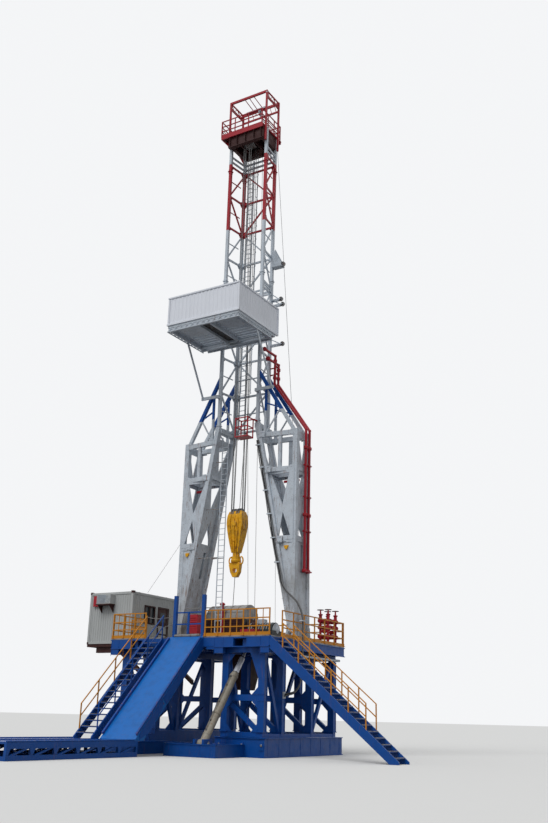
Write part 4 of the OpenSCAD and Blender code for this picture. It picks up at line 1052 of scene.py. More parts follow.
class RIG_OT_crown(bpy.types.Operator):
    """Add the crown's grillage, sheave guard, corner brackets, gin pulley and lamp"""

    bl_idname = "rig.crown"
    bl_label = "Crown fittings"

    def execute(self, context):
        z = CROWN
        low, high = placed(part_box("crown_platform"))
        front, rear = low[1] + 0.02, high[1] - 0.04
        x, y = np.linspace(low[0] + 0.15, high[0] - 0.15, 7), (-1.02, -0.72, 0.3, 0.62)
        dark = [runs(places(x, front, z - 0.12), places(x, rear, z - 0.12), beam_outline(0.11, 0.07, 0.01)),
                bars(places(low[0] + 0.09, y, z - 0.11), places(high[0] - 0.09, y, z - 0.11), 0.08, 0.05)]
        for x in (-1.1, -0.6, 0.0, 0.6, 1.1):
            dark.append(plate_x(x, [(-1.165, z - 0.88), (-1.28, z - 0.72), (-1.28, z - 0.2),
                                    (-1.165, z - 0.1)], 0.014))
        side, edges = placed(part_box("crown_beams"))[1][0], z - np.array([0.88, 0.1])
        dark.append(bars(places(-side, -1.17, edges), places(side, -1.17, edges), 0.03, 0.09))
        piece("crown_grillage", dark, "dark")

        crest = placed(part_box("crown_sheaves"))[1][2]

        def arch(x, a):
            """A point of the guard over the sheaves at angle a, from the front."""
            return places(x, WELL - 0.5 * np.cos(a), crest - 0.07 + 0.42 * np.sin(a))

        red = [swept(arch(x, np.linspace(0, np.pi, 9)), 0.022, 6) for x in (-0.36, 0.36)]
        rungs = np.linspace(0.35, np.pi - 0.35, 5)
        red.append(rods(arch(-0.36, rungs), arch(0.36, rungs), 0.018, 6))
        for dz in (0.2, 0.52):
            red += [bars((x, front + 0.01, z + dz), (x, rear, z + dz), 0.03, 0.03)
                    for x in (high[0] - 0.06, low[0] + 0.03)]
        # the frame over the crown: the middles of its posts, and the level of its top bars
        low, high = placed(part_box("gin_frame"))
        front, rear, side, top = low[1] + 0.05, high[1] - 0.05, high[0] - 0.05, high[2] - 0.07
        for x, fall in ((-side / 4, 0.23), (0, 0.33), (side / 4, 0.23)):
            red.append(bars((x, front, top), (x, rear, top - fall), 0.035, 0.035))
        for x in side * np.array([-0.75, -0.5, 0.5, 0.75]):
            red.append(bars((x, rear, top), (x + 0.16, rear, top - 0.58), 0.03, 0.03))
        for x in (-side, side):
            red += [plate_x(x, [(y, top - 0.33), (y + reach, top + 0.05), (y, top + 0.05)], 0.014)
                    for y, reach in ((front, 0.3), (rear, -0.3))]
        piece("crown_guard_bars", red, "red")
        px, py = 0.25, -0.02  # where the gin pulley hangs
        pulley = [sheave((px, py, top - 0.61), X, 0.2, 0.07),
                  cut_boxes((px - 1.0, py - 0.09, top - 0.35), (px + 0.4, py + 0.07, top - 0.25), 0.02)]
        pulley += [plate_x(x, tapered(py, top - 0.63, top - 0.33, 0.08, 0.12), 0.012)
                   for x in (px - 0.05, px + 0.05)]
        lamp = capped([(0, 0.06), (0.02, 0.065), (0.1, 0.055), (0.15, 0.02)])
        pulley.append(turned(lamp, (side, front, top - 0.11), Z, 12))
        piece("gin_pulley", pulley, "mast")
        return {"FINISHED"}


class RIG_OT_block(bpy.types.Operator):
    """Add the ribs, pins and sheave rims of the travelling block, and the hook's latch and ears"""

    bl_idname = "rig.block"
    bl_label = "Block and hook fittings"

    def execute(self, context):
        top, y = placed(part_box("travelling_block"))[1][2], WELL
        base = top - 2.18
        pin = base + 1.5
        profile = np.array([(0.16, 0.02), (0.28, 0.42), (0.4, 1.15), (0.45, 1.5), (0.44, 1.75), (0.36, 2.02)])
        depth = np.array([0.2, 0.27, 0.32, 0.335, 0.335, 0.28]) + 0.004
        around = np.arange(8) * np.pi / 4 + 0.2
        cheeks = []
        for face in BOTH_WAYS:
            for share, width in ((-0.55, 0.04), (0.0, 0.055), (0.55, 0.04)):
                cheeks.append(linked(places(profile[:, 0] * share, y + face * depth, base + profile[:, 1]),
                                     0.03, width))
            for z, r, out in ((pin, 0.15, 0.33), (base + 0.62, 0.07, 0.285)):
                cap = capped([(0, r), (0.02, r), (0.035, r * 0.8)])
                cheeks.append(turned(cap, (0, y + face * out, z), face * Y, 18))
            heads = places(0.36 * np.cos(around), y + face * 0.318, pin + 0.36 * np.sin(around))
            cheeks.append(hex_heads(heads, face * Y, 0.05, 0.03))
        for x in (-0.475, 0.475):
            cheeks.append(cut_boxes((x - 0.012, y - 0.2, base + 1.2),
                                    (x + 0.012, y + 0.2, base + 1.72), 0.008))
        piece("block_cheeks", cheeks, "block", "block")
        rim = [(-0.03, 0.05), (-0.035, 0.30), (-0.012, 0.27), (0.012, 0.27), (0.035, 0.30), (0.03, 0.05)]
        piece("block_sheave_rims", [turned(rim, (x, y, top - 0.12), X) for x in (-0.24, -0.12, 0.12, 0.24)],
              "steel", "block")
        z = top - 2.38
        a = np.linspace(-0.5 * np.pi, 0.5 * np.pi, 9)
        cap = capped([(0, 0.09), (0.03, 0.09), (0.05, 0.06)])
        parts = []
        for way in BOTH_WAYS:
            parts.append(turned(cap, (0, y + way * 0.13, z - 0.12), way * Y, 16))
            parts.append(swept(places(way * (0.3 + 0.13 * np.cos(a)), y, z - 0.2 + 0.2 * np.sin(a)), 0.038))
        parts.append(cut_boxes((-0.05, y - 0.1, z - 0.56), (0.05, y + 0.1, z - 0.5), 0.02))
        parts.append(turned([(0, 0.255), (0.04, 0.275), (0.08, 0.275), (0.12, 0.255)], (0, y, z - 0.28), Z))
        piece("hook_ears", parts, "block", "hook")
        return {"FINISHED"}


class RIG_OT_ropes(bpy.types.Operator):
    """Run the winch ropes, the fast line, the stays and the falls of the drilling line, each taut between its
    fixings"""

    bl_idname = "rig.ropes"
    bl_label = "Ropes and stays"

    def execute(self, context):
        r = context.scene.rig_sizes.rope / 2
        # sheaves under the crown beams, and the eye plates on the floor
        winch_top, hoist_top = np.array([(0.335, 0.25, CROWN - 1.02), (-0.757, 0.25, CROWN - 1.02)])
        pads = np.array([(3.15, 1.3, FLOOR), (0.42, 0.25, FLOOR + 0.09), (2.36, -0.3, FLOOR)])
        weight = np.array([0.77, 0.25, 6.12])  # middle of the ball on the winch rope
        routes = {
            "winch_rope": (r, [winch_top, weight + 0.23 * Z]),
            "hoist_rope": (r, [hoist_top, pads[1] + 0.07 * Z]),
            "fast_line": (1.5 * r, [(0.0, -0.07, 34.87), (-0.3, 0.37, 16.55), (-1.5, 1.62, 7.15)]),
            "crown_stay": (r, [(0.98, 0.88, 35.1), pads[0] + 0.1 * Z]),
            "leg_stay": (0.7 * r, [(-3.6, -0.55, 10.5), (-5.58, -0.65, 7.93)]),
            "tong_rope": (0.7 * r, [(2.25, -0.3, 10.15), pads[2] + 0.1 * Z]),
        }
        for name, (radius, points) in routes.items():
            path = np.concatenate([np.linspace(a, b, 40) for a, b in zip(points[:-1], points[1:])])
            path = path[np.append(True, np.linalg.norm(np.diff(path, axis=0), axis=1) > 1e-6)]
            piece(name, [swept(path, radius)], "rope")
        # the eight falls of the drilling line run from the crown sheaves to the block
        low, high = placed(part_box("drilling_lines"))
        thick, pitch, spread = 0.017, 0.13, 0.062
        middle = (low[1] + high[1]) / 2
        side, deep = high[0] - thick, (high[1] - low[1]) / 2 - thick
        falls = [swept(np.linspace((s * side, middle + i * spread, low[2]),
                                   (i * pitch, middle + s * deep, high[2]), 70), thick)
                 for s in BOTH_WAYS for i in (-2, -1, 1, 2)]
        span = [(0, middle, high[2] - 0.45) + HOME, (0, middle, low[2]) + HOME]
        piece("drilling_line_falls", falls, "rope", ("rig", "block", *span), hides=("drilling_lines",))
        ball = [(-0.2, 0.03), (-0.12, 0.04), (-0.1, 0.1), (-0.04, 0.14), (0.03, 0.15), (0.1, 0.12),
                (0.15, 0.05), (0.3, 0.025)]
        a = np.linspace(0.1 * np.pi, 1.75 * np.pi, 15)
        bend = weight + places(0.07 * np.sin(a), 0, 0.08 * np.cos(a) - 0.26)
        hook = swept(bend, np.linspace(0.024, 0.012, 15))
        piece("winch_ball_and_hook", [turned(capped(ball), weight, Z, 18), hook], "dark")
        parts = []
        for x, y, z in (winch_top, hoist_top):
            parts.append(sheave((x + 0.001, y, z), X, 0.12, 0.05))
            parts += [plate_x(x + dx, [(y - 0.06, z - 0.05), (y + 0.06, z - 0.05), (0.43, z + 0.16),
                                       (y - 0.02, z + 0.16)], 0.012) for dx in (-0.045, 0.045)]
        parts.append(sheave((-0.3, 0.45, 16.5), X, 0.1, 0.06))
        parts += [bars((x, 0.47, 16.5), (x, 0.47, 16.66), 0.04, 0.05) for x in (-0.36, -0.24)]
        parts += [plate_y(y, tapered(x, z, z + 0.16, 0.09, 0.04), 0.025) for x, y, z in pads]
        piece("rope_fittings", parts, "dark")
        return {"FINISHED"}


class RIG_OT_floor(bpy.types.Operator):
    """Add the hood bands, louvres and ribs of the drawworks, the consoles, the valves, the rotary cover and
    the mud pan"""

    bl_idname = "rig.floor"
    bl_label = "Drill floor machinery"

    def execute(self, context):
        bolt = context.scene.rig_sizes.bolt
        low, high = placed(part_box("drawworks"))
        y0, y1, z0, top = low[1], high[1], low[2], high[2]
        # the drum house: its ends, and the axle and spring line of its round hood
        left, right = low[0] + 0.1, low[0] + 2.5
        r = (y1 - y0) / 2 - 0.015
        axle, spring = (y0 + y1) / 2, top - r

        def over_hood(x, a, lift):
            """A point at angle a round the hood, from the front, lifted off its sheet."""
            return places(x, axle - (r + lift) * np.cos(a), spring + (r + lift) * np.sin(a))

        a = np.linspace(0.02 * np.pi, 0.98 * np.pi, 15)
        hood = [swept(over_hood(x, a, 0.012), 0.022, 6) for x in np.linspace(left + 0.02, right - 0.02, 6)]
        a = np.array([0.15, 0.5, 0.85]) * np.pi
        hood.append(bars(over_hood(left - 0.01, a, 0.01), over_hood(right + 0.01, a, 0.01), 0.03, 0.05))
        piece("drawworks_hood_bands", hood, "winch")
        louvres = []
        for x in left + 0.1 + 0.78 * np.arange(3):
            louvres.append(cut_boxes((x, y0 - 0.03, z0 + 0.3), (x + 0.7, y0 - 0.002, spring - 0.05), 0.008))
            louvres.append(slats(x + 0.06, x + 0.64, y0 - 0.045, np.linspace(z0 + 0.4, spring - 0.15, 9),
                                 [(-0.02, -0.012), (0.03, 0.02), (0.02, 0.02), (-0.03, -0.006)]))
        hub = capped([(0, 0.5), (0.03, 0.52), (0.05, 0.3), (0.09, 0.26)])
        louvres += [turned(hub, (x, axle, z0 + 0.95), way * X, 24)
                    for x, way in ((left - 0.02, -1), (right + 0.005, 1))]
        piece("drawworks_louvres", louvres, "dark")
        consoles = [cut_boxes((-2.1, -1.6, FLOOR), (-1.5, -1.1, FLOOR + 1.38), 0.02),
                    slats(-2.04, -1.56, -1.615, np.linspace(FLOOR + 0.25, FLOOR + 1.2, 10),
                          [(-0.02, -0.01), (0.03, 0.012), (0.02, 0.014), (-0.03, -0.004)]),
                    rods((-1.75, 1.0, FLOOR), (-1.75, 1.0, FLOOR + 2.15), 0.09, 12),
                    turned([(0, 0.001), (0, 0.14), (0.05, 0.15), (0.12, 0.11), (0.16, 0.001)],
                           (-1.75, 1.0, FLOOR + 2.13), Z, 16),
                    cut_boxes((-0.42, y0 - 0.42, FLOOR + 0.02), (0.62, y0 - 0.06, FLOOR + 0.82), 0.03)]
        piece("consoles", consoles, "red")
        shaft, reach = z0 + 0.79, 0.447
        a = np.linspace(0.05 * np.pi, 0.95 * np.pi, 11)
        motor = [swept(places(x, axle - reach * np.cos(a), shaft + reach * np.sin(a)), 0.014, 5)
                 for x in np.linspace(right + 0.15, high[0] - 0.4, 9)]
        motor.append(turned(capped([(0, 0.36), (0.04, 0.4), (0.08, 0.2), (0.12, 0.12)]),
                            (high[0] - 0.235, axle, shaft), X))
        motor.append(cut_boxes((right + 0.4, axle - 0.18, shaft + 0.4),
                               (right + 0.95, axle + 0.18, shaft + 0.62), 0.02))
        motor.append(hex_heads([(x, y, z0 + 0.25) for x in np.linspace(low[0] + 0.1, high[0] - 0.1, 12)
                                for y in (y0 + 0.05, y1 - 0.05)], Z, bolt))
        piece("drawworks_motor_ribs", motor, "mast")
        self.manifold(placed(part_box("manifold"))[1][2])
        cover = [turned([(0, 0.27), (0, 0.40), (0.02, 0.42), (0.03, 0.36), (0.03, 0.28)],
                        (0, WELL, FLOOR + 0.15), Z, 28)]
        a = np.arange(16) * np.pi / 8
        cover.append(hex_heads(places(0.54 * np.cos(a), WELL + 0.54 * np.sin(a), FLOOR + 0.15), Z, bolt))
        half = 0.32  # half the width of the drive box behind the table, and of the mud pan
        cover.append(cut_boxes((-half, 0.16, FLOOR + 0.091), (half, 0.48, FLOOR + 0.3), 0.03))
        piece("rotary_cover", cover, "steel")
        foot, rim, wide = 2.95, 4.62, 0.6
        funnel = np.array([(-half, 0.35, foot), (half, 0.35, foot), (half, 1.2, foot), (-half, 1.2, foot),
                           (-wide, 0.1, rim), (wide, 0.1, rim), (wide, 1.5, rim), (-wide, 1.5, rim)])
        under = [(funnel, prism_faces(0, 4)),
                 cut_boxes((-wide - 0.05, 0.05, rim - 0.04), (wide + 0.05, 1.55, rim + 0.07), 0.03),
                 rods((0, 0.75, foot - 0.55), (0, 0.75, foot + 0.05), 0.16, 14)]
        piece("mud_pan", under, "dark")
        return {"FINISHED"}

    def manifold(self, top):
        """Bonnets, flanges and hand wheels of the manifold's valves."""
        xs, ys, r, z = (3.8, 4.24), (1.75, 2.55), 0.17, top + 0.47
        bonnet = [(0, 0.07), (0, 0.13), (0.04, 0.13), (0.06, 0.09), (0.3, 0.08), (0.34, 0.12), (0.38, 0.12),
                  (0.38, 0.05), (0.62, 0.03), (0.62, 0.001)]
        flange = [(-0.02, 0.07), (-0.02, 0.115), (0.02, 0.115), (0.02, 0.07)]
        a = np.linspace(0, 2 * np.pi, 19)
        valves, wheels = [], []
        for x in xs:
            for y in ys:
                valves.append(turned(bonnet, (x, y, top - 0.12), Z, 14))
                wheels.append(swept(places(x + r * np.cos(a), y + r * np.sin(a), z), 0.014, 6))
                spokes = [(x - r, y, z), (x, y - r, z)], [(x + r, y, z), (x, y + r, z)]
                wheels.append(bars(*spokes, 0.014, 0.02))
            valves += [turned(flange, (x, y, FLOOR + lift), Y, 12)
                       for lift in (0.45, 0.9, 1.22) for y in (1.66, 2.0, 2.3, 2.64)]
        joint = [(-0.09, 0.055), (-0.07, 0.11), (0.07, 0.11), (0.09, 0.055)]
        valves += [turned(joint, (4.02, y, FLOOR + lift), X, 12) for y in ys for lift in (0.7, 1.22)]
        piece("manifold_valves", valves, "red")
        piece("manifold_wheels", wheels, "dark")


class RIG_OT_cabin(bpy.types.Operator):
    """Add the panels, ribs, corner castings, windows, door trim and cooling unit grille of the cabin"""

    bl_idname = "rig.cabin"
    bl_label = "Cabin sheets and fittings"

    def execute(self, context):
        pitch = context.scene.rig_sizes.rib
        x0, y0, bottom = CABIN_LOW
        x1, y1, eaves = CABIN_HIGH
        z0, z1, length = bottom + 0.12, eaves - 0.06, y1 - y0
        gap, depth, wall, edge = 0.003, 0.022, 0.08, 0.12
        inset = depth + 0.004
        sill, head = FLOOR + 1.15, FLOOR + 2.05
        # openings in the door side: from and to along it, the level of the wall below, the width of the trim
        openings = ((1.05, 1.9, sill, 0.03), (2.25, 3.1, bottom, 0.05), (3.9, 4.9, sill, 0.03))

        def bays(start, end, low, high, free):
            """Stretches of the door side round its openings, clear of their trim where free is 1, not 0."""
            holes = [(a - free * trim, b + free * trim, under - free * 0.05)
                     for a, b, under, trim in openings]
            starts, ends = [start] + [b for _, b, _ in holes], [a for a, _, _ in holes] + [end]
            found = [(a, b, low, high) for a, b in zip(starts, ends)]
            for a, b, under in holes:
                found += [(a, b, low, under), (a, b, head + free * 0.05, high)]
            return [bay for bay in found if bay[3] > bay[2]]

        ribs = [ribbed_wall((x0 + edge, y0 - gap), (x1 - edge, y0 - gap), z0, z1, pitch, depth)]
        # at the rear and left the panels are set in, so that the ribs end in the faces of the solid's walls
        for a, b in (((x1 - edge, y1 - depth), (x0 + edge, y1 - depth)),
                     ((x0 + depth, y1 - edge), (x0 + depth, y0 + edge))):
            ribs.append(ribbed_wall(a, b, z0, z1, pitch, depth - gap))
        panels = [((x0 + inset, y1 - wall, bottom), (x1, y1 - inset, eaves)),
                  ((x0 + inset, y0, bottom), (x0 + wall, y1 - wall, eaves)),
                  ((x0 + wall, y0, bottom), (x1 - wall, y0 + wall, eaves))]
        panels += [((x1 - wall, y0 + a, low), (x1, y0 + b, high))
                   for a, b, low, high in bays(0, length - wall, bottom, eaves, 0)]
        piece("cabin_panels", [cut_boxes(*zip(*panels), 0.001)], "cabin", hides=("doghouse_walls",))
        ribs += [ribbed_wall((x1 + gap, y0 + a), (x1 + gap, y0 + b), low, high, pitch, depth)
                 for a, b, low, high in bays(edge, length - edge, z0, z1, 1)]
        piece("cabin_ribs", ribs, "cabin")
        self.edges(eaves + 0.1)
        dark, glass = self.castings(eaves + 0.1), []
        first, door, last = (opening[:2] for opening in openings)
        for ya, yb in np.array([first, last]) + y0:
            x = x1 + 0.02
            dark += [bars((x, ya - 0.04, z), (x, yb + 0.04, z), 0.06, 0.06) for z in (sill, head)]
            dark += [bars((x, y, sill), (x, y, head), 0.06, 0.045) for y in (ya, (ya + yb) / 2, yb)]
            glass.append(cut_boxes((x1 - 0.045, ya, sill), (x1 - 0.035, yb, head), 0.001))
        ya, yb = np.array(door) + y0
        x, jambs = x1 + 0.015, np.array([ya - 0.03, yb + 0.03])
        dark.append(bars(places(x, jambs, FLOOR), places(x, jambs, head), 0.04, 0.05))
        dark.append(bars((x, ya - 0.055, head + 0.03), (x, yb + 0.055, head + 0.03), 0.05, 0.04))
        piece("cabin_window_frames", dark, "dark")
        piece("cabin_window_panes", glass, "glass")

        def pressed(x, left, right, low, high, thick):
            """A flat panel on the door between two edges and two heights over the floor."""
            return plate_x(x, [(left, FLOOR + low), (right, FLOOR + low), (right, FLOOR + high),
                               (left, FLOOR + high)], thick)

        leaf = [pressed(x1 - 0.006, ya + 0.08, yb - 0.08, low, high, 0.008)
                for low, high in ((0.15, 0.62), (0.7, 1.1))]
        leaf.append(pressed(x1 - 0.004, yb - 0.14, yb - 0.06, 0.94, 1.16, 0.01))
        piece("door_panels", leaf, "cabin", "door")
        piece("door_pane", [pressed(x1 - 0.006, ya + 0.2, yb - 0.2, 1.3, 1.82, 0.006)], "glass", "door")
        self.cooling_unit(*placed(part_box("cooling_unit")))
        return {"FINISHED"}

    def edges(self, roof):
        """Corner posts, bottom and top rails and roof bows of the cabin."""
        (x0, y0, low), (x1, y1, high) = CABIN_LOW, CABIN_HIGH
        trim = [cut_boxes((x - sx * 0.13, y - sy * 0.13, low),
                          (x + sx * 0.03, y + sy * 0.03, roof - 0.02), 0.012)
                for x, sx in ((x0, -1), (x1, 1)) for y, sy in ((y0, -1), (y1, 1))]
        for z in (low + 0.06, high + 0.03):
            trim += [bars((x0, y, z), (x1, y, z), 0.12, 0.04) for y in (y0 - 0.015, y1 + 0.015)]
            trim.append(bars((x0 - 0.015, y0, z), (x0 - 0.015, y1, z), 0.12, 0.04))
        trim.append(bars((x1 + 0.015, y0, high + 0.03), (x1 + 0.015, y1, high + 0.03), 0.12, 0.04))
        bow = np.linspace(y0 + 0.6, y1 - 0.6, 7)
        ends = [places(x, bow, roof + 0.012) for x in (x0 + 0.05, x1 - 0.05)]
        trim.append(bars(*ends, 0.024, 0.05))
        piece("cabin_frame", trim, "cabin")

    def castings(self, roof):
        """The castings at the cabin's eight corners."""
        return [cut_boxes((x - sx * 0.12, y - sy * 0.14, z),
                          (x + sx * 0.045, y + sy * 0.045, z + 0.12), 0.02)
                for x, sx in ((CABIN_LOW[0], -1), (CABIN_HIGH[0], 1))
                for y, sy in ((CABIN_LOW[1], -1), (CABIN_HIGH[1], 1))
                for z in (CABIN_LOW[2] - 0.02, roof - 0.08)]

    def cooling_unit(self, low, high):
        """Slatted front, fan ring and shelf of the cooling unit, with the red box beside it."""
        x0, y0 = CABIN_LOW[:2]
        levels = np.linspace(low[2] + 0.05, high[2] - 0.05, 11)
        grille = [slats(low[0] + 0.04, low[0] + 0.62, low[1] - 0.012, levels,
                        [(-0.012, -0.01), (0.016, 0.012), (0.01, 0.014), (-0.018, -0.004)])]
        cx, cz = high[0] - 0.2, (low[2] + high[2]) / 2
        t = np.linspace(0, 2 * np.pi, 25)
        grille += [swept(places(cx + 0.85 * r * np.cos(t), low[1] - 0.015, cz + r * np.sin(t)), 0.006, 5)
                   for r in (0.06, 0.11, 0.16, 0.2)]
        piece("cooling_unit_grille", grille, "mast")
        shelf = [cut_boxes((low[0] - 0.04, low[1] - 0.04, low[2] - 0.05),
                           (high[0] + 0.04, high[1], low[2] - 0.002), 0.01)]
        back, under = high[1] - 0.005, low[2] - 0.05
        shelf += [plate_x(x, [(back, low[2] - 0.45), (low[1] + 0.03, under), (back, under)], 0.03)
                  for x in (low[0] + 0.08, high[0] - 0.08)]
        piece("cooling_unit_shelf", shelf, "dark")
        piece("cabin_red_box", [cut_boxes((x0 + 0.3, y0 - 0.13, low[2] - 0.08),
                                          (x0 + 0.68, y0 - 0.026, high[2] - 0.04), 0.015)], "red")


def guard_posts():
    """Feet of the guard rail posts of the drill floor, as the solids have them: even steps between the ends
    of each panel, 25 mm in from them."""
    half = 0.025
    rails = [((-SIDE, FRONT + half), (GATE[0], FRONT + half), 3),
             ((GATE[1], FRONT + half), (SIDE, FRONT + half), 5),
             ((SIDE - half, FRONT + 1.12), (SIDE - half, REAR), 6),
             ((-SIDE, REAR - half), (SIDE - 0.06, REAR - half), 9)]
    feet = []
    for a, b, n in rails:
        a, b = np.array(a), np.array(b)
        feet.append(np.linspace(a + unit(b - a) * half, b - unit(b - a) * half, n + 1))
    return np.concatenate(feet)


class RIG_OT_rails(bpy.types.Operator):
    """Add the post sockets, mid pickets and gate chains of the guard rails"""

    bl_idname = "rig.rails"
    bl_label = "Guard rail fittings"

    def execute(self, context):
        x, y = guard_posts().T
        sockets = [cut_boxes(places(x - half, y - half, FLOOR),
                             places(x + half, y + half, FLOOR + height), cut)
                   for half, height, cut in ((0.042, 0.16, 0.008), (0.07, 0.014, 0.012))]
        sockets += [hex_heads(places(x + off, y + off, FLOOR + 0.014), Z, 0.03, 0.015)
                    for off in (0.055, -0.055)]
        pickets = []
        for x0, x1, k in ((GATE[1], SIDE, 5), (-SIDE, GATE[0], 3)):
            x = np.linspace(x0 + 0.025, x1 - 0.025, k + 1)
            foot = places((x[:-1] + x[1:]) / 2, FRONT + 0.025, FLOOR + 0.15)
            pickets.append(bars(foot, foot + 1.02 * Z, 0.028, 0.028))
        piece("rail_sockets", sockets, "rail")
        piece("rail_pickets", pickets, "rail")
        t = np.linspace(0, 1, 34)
        thick = 0.014 + 0.006 * (np.arange(34) % 2)
        chains = [swept(places(GATE[0] + 1.65 * t, FRONT + 0.05, FLOOR + z - 0.48 * t * (1 - t)), thick, 6)
                  for z in (1.0, 0.6)]
        piece("stair_gate_chains", chains, "steel")
        return {"FINISHED"}


class RIG_OT_ramp(bpy.types.Operator):
    """Add the curbs, roller, skirt plates and cross ribs of the ramp, and the deck and lips of the catwalk"""

    bl_idname = "rig.ramp"
    bl_label = "Ramp and catwalk fittings"

    def execute(self, context):
        low, high = placed(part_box("ramp"))
        top, foot = np.array([FRONT, FLOOR]), np.array([low[1], low[2] + 0.04])
        slope = unit(foot - top)
        up = np.array([slope[1], -slope[0]])

        def on(t, h, x):
            """A point of the ramp: t along its length from the top, h over its plate and x across."""
            return (x, *(top + (foot - top) * t + up * h))

        curbs = []
        for x in (low[0] + 0.03, high[0] - 0.03):
            curbs.append(bars(on(0.02, 0.05, x), on(0.965, 0.05, x), 0.10, 0.05))
            curbs.append(bars(on(0.02, 0.105, x), on(0.965, 0.105, x), 0.014, 0.09))
        curbs += [bars(on(t, -0.26, x), on(t, 0.0, x), 0.05, 0.02)
                  for t in np.linspace(0.12, 0.9, 7) for x in (-0.944, 0.952)]
        side = high[0] + 0.01
        skirt = [plates([[on(0.0, -0.02, side), on(0.62, -0.02, side), on(0.62, -0.38, side),
                          on(0.04, -0.45, side)]], X, 0.016)]
        side += 0.002
        for t0, t1, drop in ((0.62, 0.72, 0.52), (0.72, 0.84, 0.62), (0.84, 0.94, 0.5)):
            under = [(side, y, max(foot[1], z - drop)) for _, y, z in (on(t1, 0, 0), on(t0, 0, 0))]
            skirt.append(plates([[on(t0, -0.02, side), on(t1, -0.02, side), *under]], X, 0.018))
        piece("ramp_curbs", curbs, "scraped")
        piece("ramp_skirt", skirt, "structure")
        drum = [(-0.8, 0.035), (-0.72, 0.04), (-0.72, 0.085), (0.72, 0.085), (0.72, 0.04), (0.8, 0.035)]
        roller = [turned(capped(drum), (0, FRONT + 0.06, FLOOR + 0.05), X, 18)]
        roller += [plate_x(x, tapered(FRONT + 0.07, FLOOR, FLOOR + 0.12, 0.07, 0.04), 0.03)
                   for x in (-0.76, 0.76)]
        piece("ramp_roller", roller, "steel")

        low, high = placed(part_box("catwalk"))
        deck = high[2]
        edges = [rods((x, low[1], deck + 0.03), (x, high[1], deck + 0.03), 0.03)
                 for x in (low[0] + 0.03, high[0] - 0.03)]
        trough = -0.83  # middle of the pipe trough along the catwalk
        edges += [bars((x, low[1], deck + 0.02), (x, high[1] - 0.5, deck + 0.02), 0.04, 0.05)
                  for x in (trough - 0.24, trough + 0.24)]
        y = np.arange(low[1] + 0.05, high[1] - 0.55, 0.3)
        boards = [cut_boxes(places(x0, y, deck + 0.004), places(x1, y + 0.285, deck + 0.012), 0.01)
                  for x0, x1 in ((low[0] + 0.08, trough - 0.29), (trough + 0.29, high[0] - 0.08))]
        for y in low[1] + 0.05 + 1.2 * np.arange(7):
            if y < high[1] - 0.3:
                edges.append(plate_x(high[0] + 0.006, [(y - 0.14, 0.42), (y + 0.16, 0.42), (y + 0.06, 0.2),
                                                       (y - 0.06, 0.2)], 0.01))
        piece("catwalk_edges", edges, "structure")
        piece("catwalk_deck_plates", boards, "structure")
        return {"FINISHED"}


class RIG_OT_stairs(bpy.types.Operator):
    """Add the nosings and bearing bars of both stairs"""

    bl_idname = "rig.stairs"
    bl_label = "Stair treads"

    def execute(self, context):
        right, left = placed(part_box("stair_right")), placed(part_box("stair_left"))
        # each stair: its length on plan, the level of its foot and its number of treads
        for name, length, foot, n in (("stair_right", right[1][0] - SIDE, right[0][2], 20),
                                      ("stair_left", FRONT - left[0][1], left[0][2], 17)):
            share = np.arange(1, n + 1) / (n + 1)
            run, z = length * share, FLOOR - 0.03 + (foot - FLOOR + 0.03) * share
            parts = []
            # four bearing bars and the nosing of a tread: place ahead of its middle, inset, lift and section
            for off, inset, lift, height, width in (
                    (-0.13, 0.07, 0.008, 0.016, 0.012), (-0.07, 0.07, 0.008, 0.016, 0.012),
                    (0.0, 0.07, 0.008, 0.016, 0.012), (0.05, 0.07, 0.008, 0.016, 0.012),
                    (0.112, 0.065, 0.006, 0.024, 0.03)):
                across = inset, 1.06 - inset
                if name == "stair_right":
                    ends = [places(SIDE + run + off, y + FRONT, z + lift) for y in across]
                else:
                    ends = [places(left[0][0] + x, FRONT - run - off, z + lift) for x in across]
                parts.append(bars(*ends, height, width))
            piece(name + "_nosings", parts, "steel")
        return {"FINISHED"}


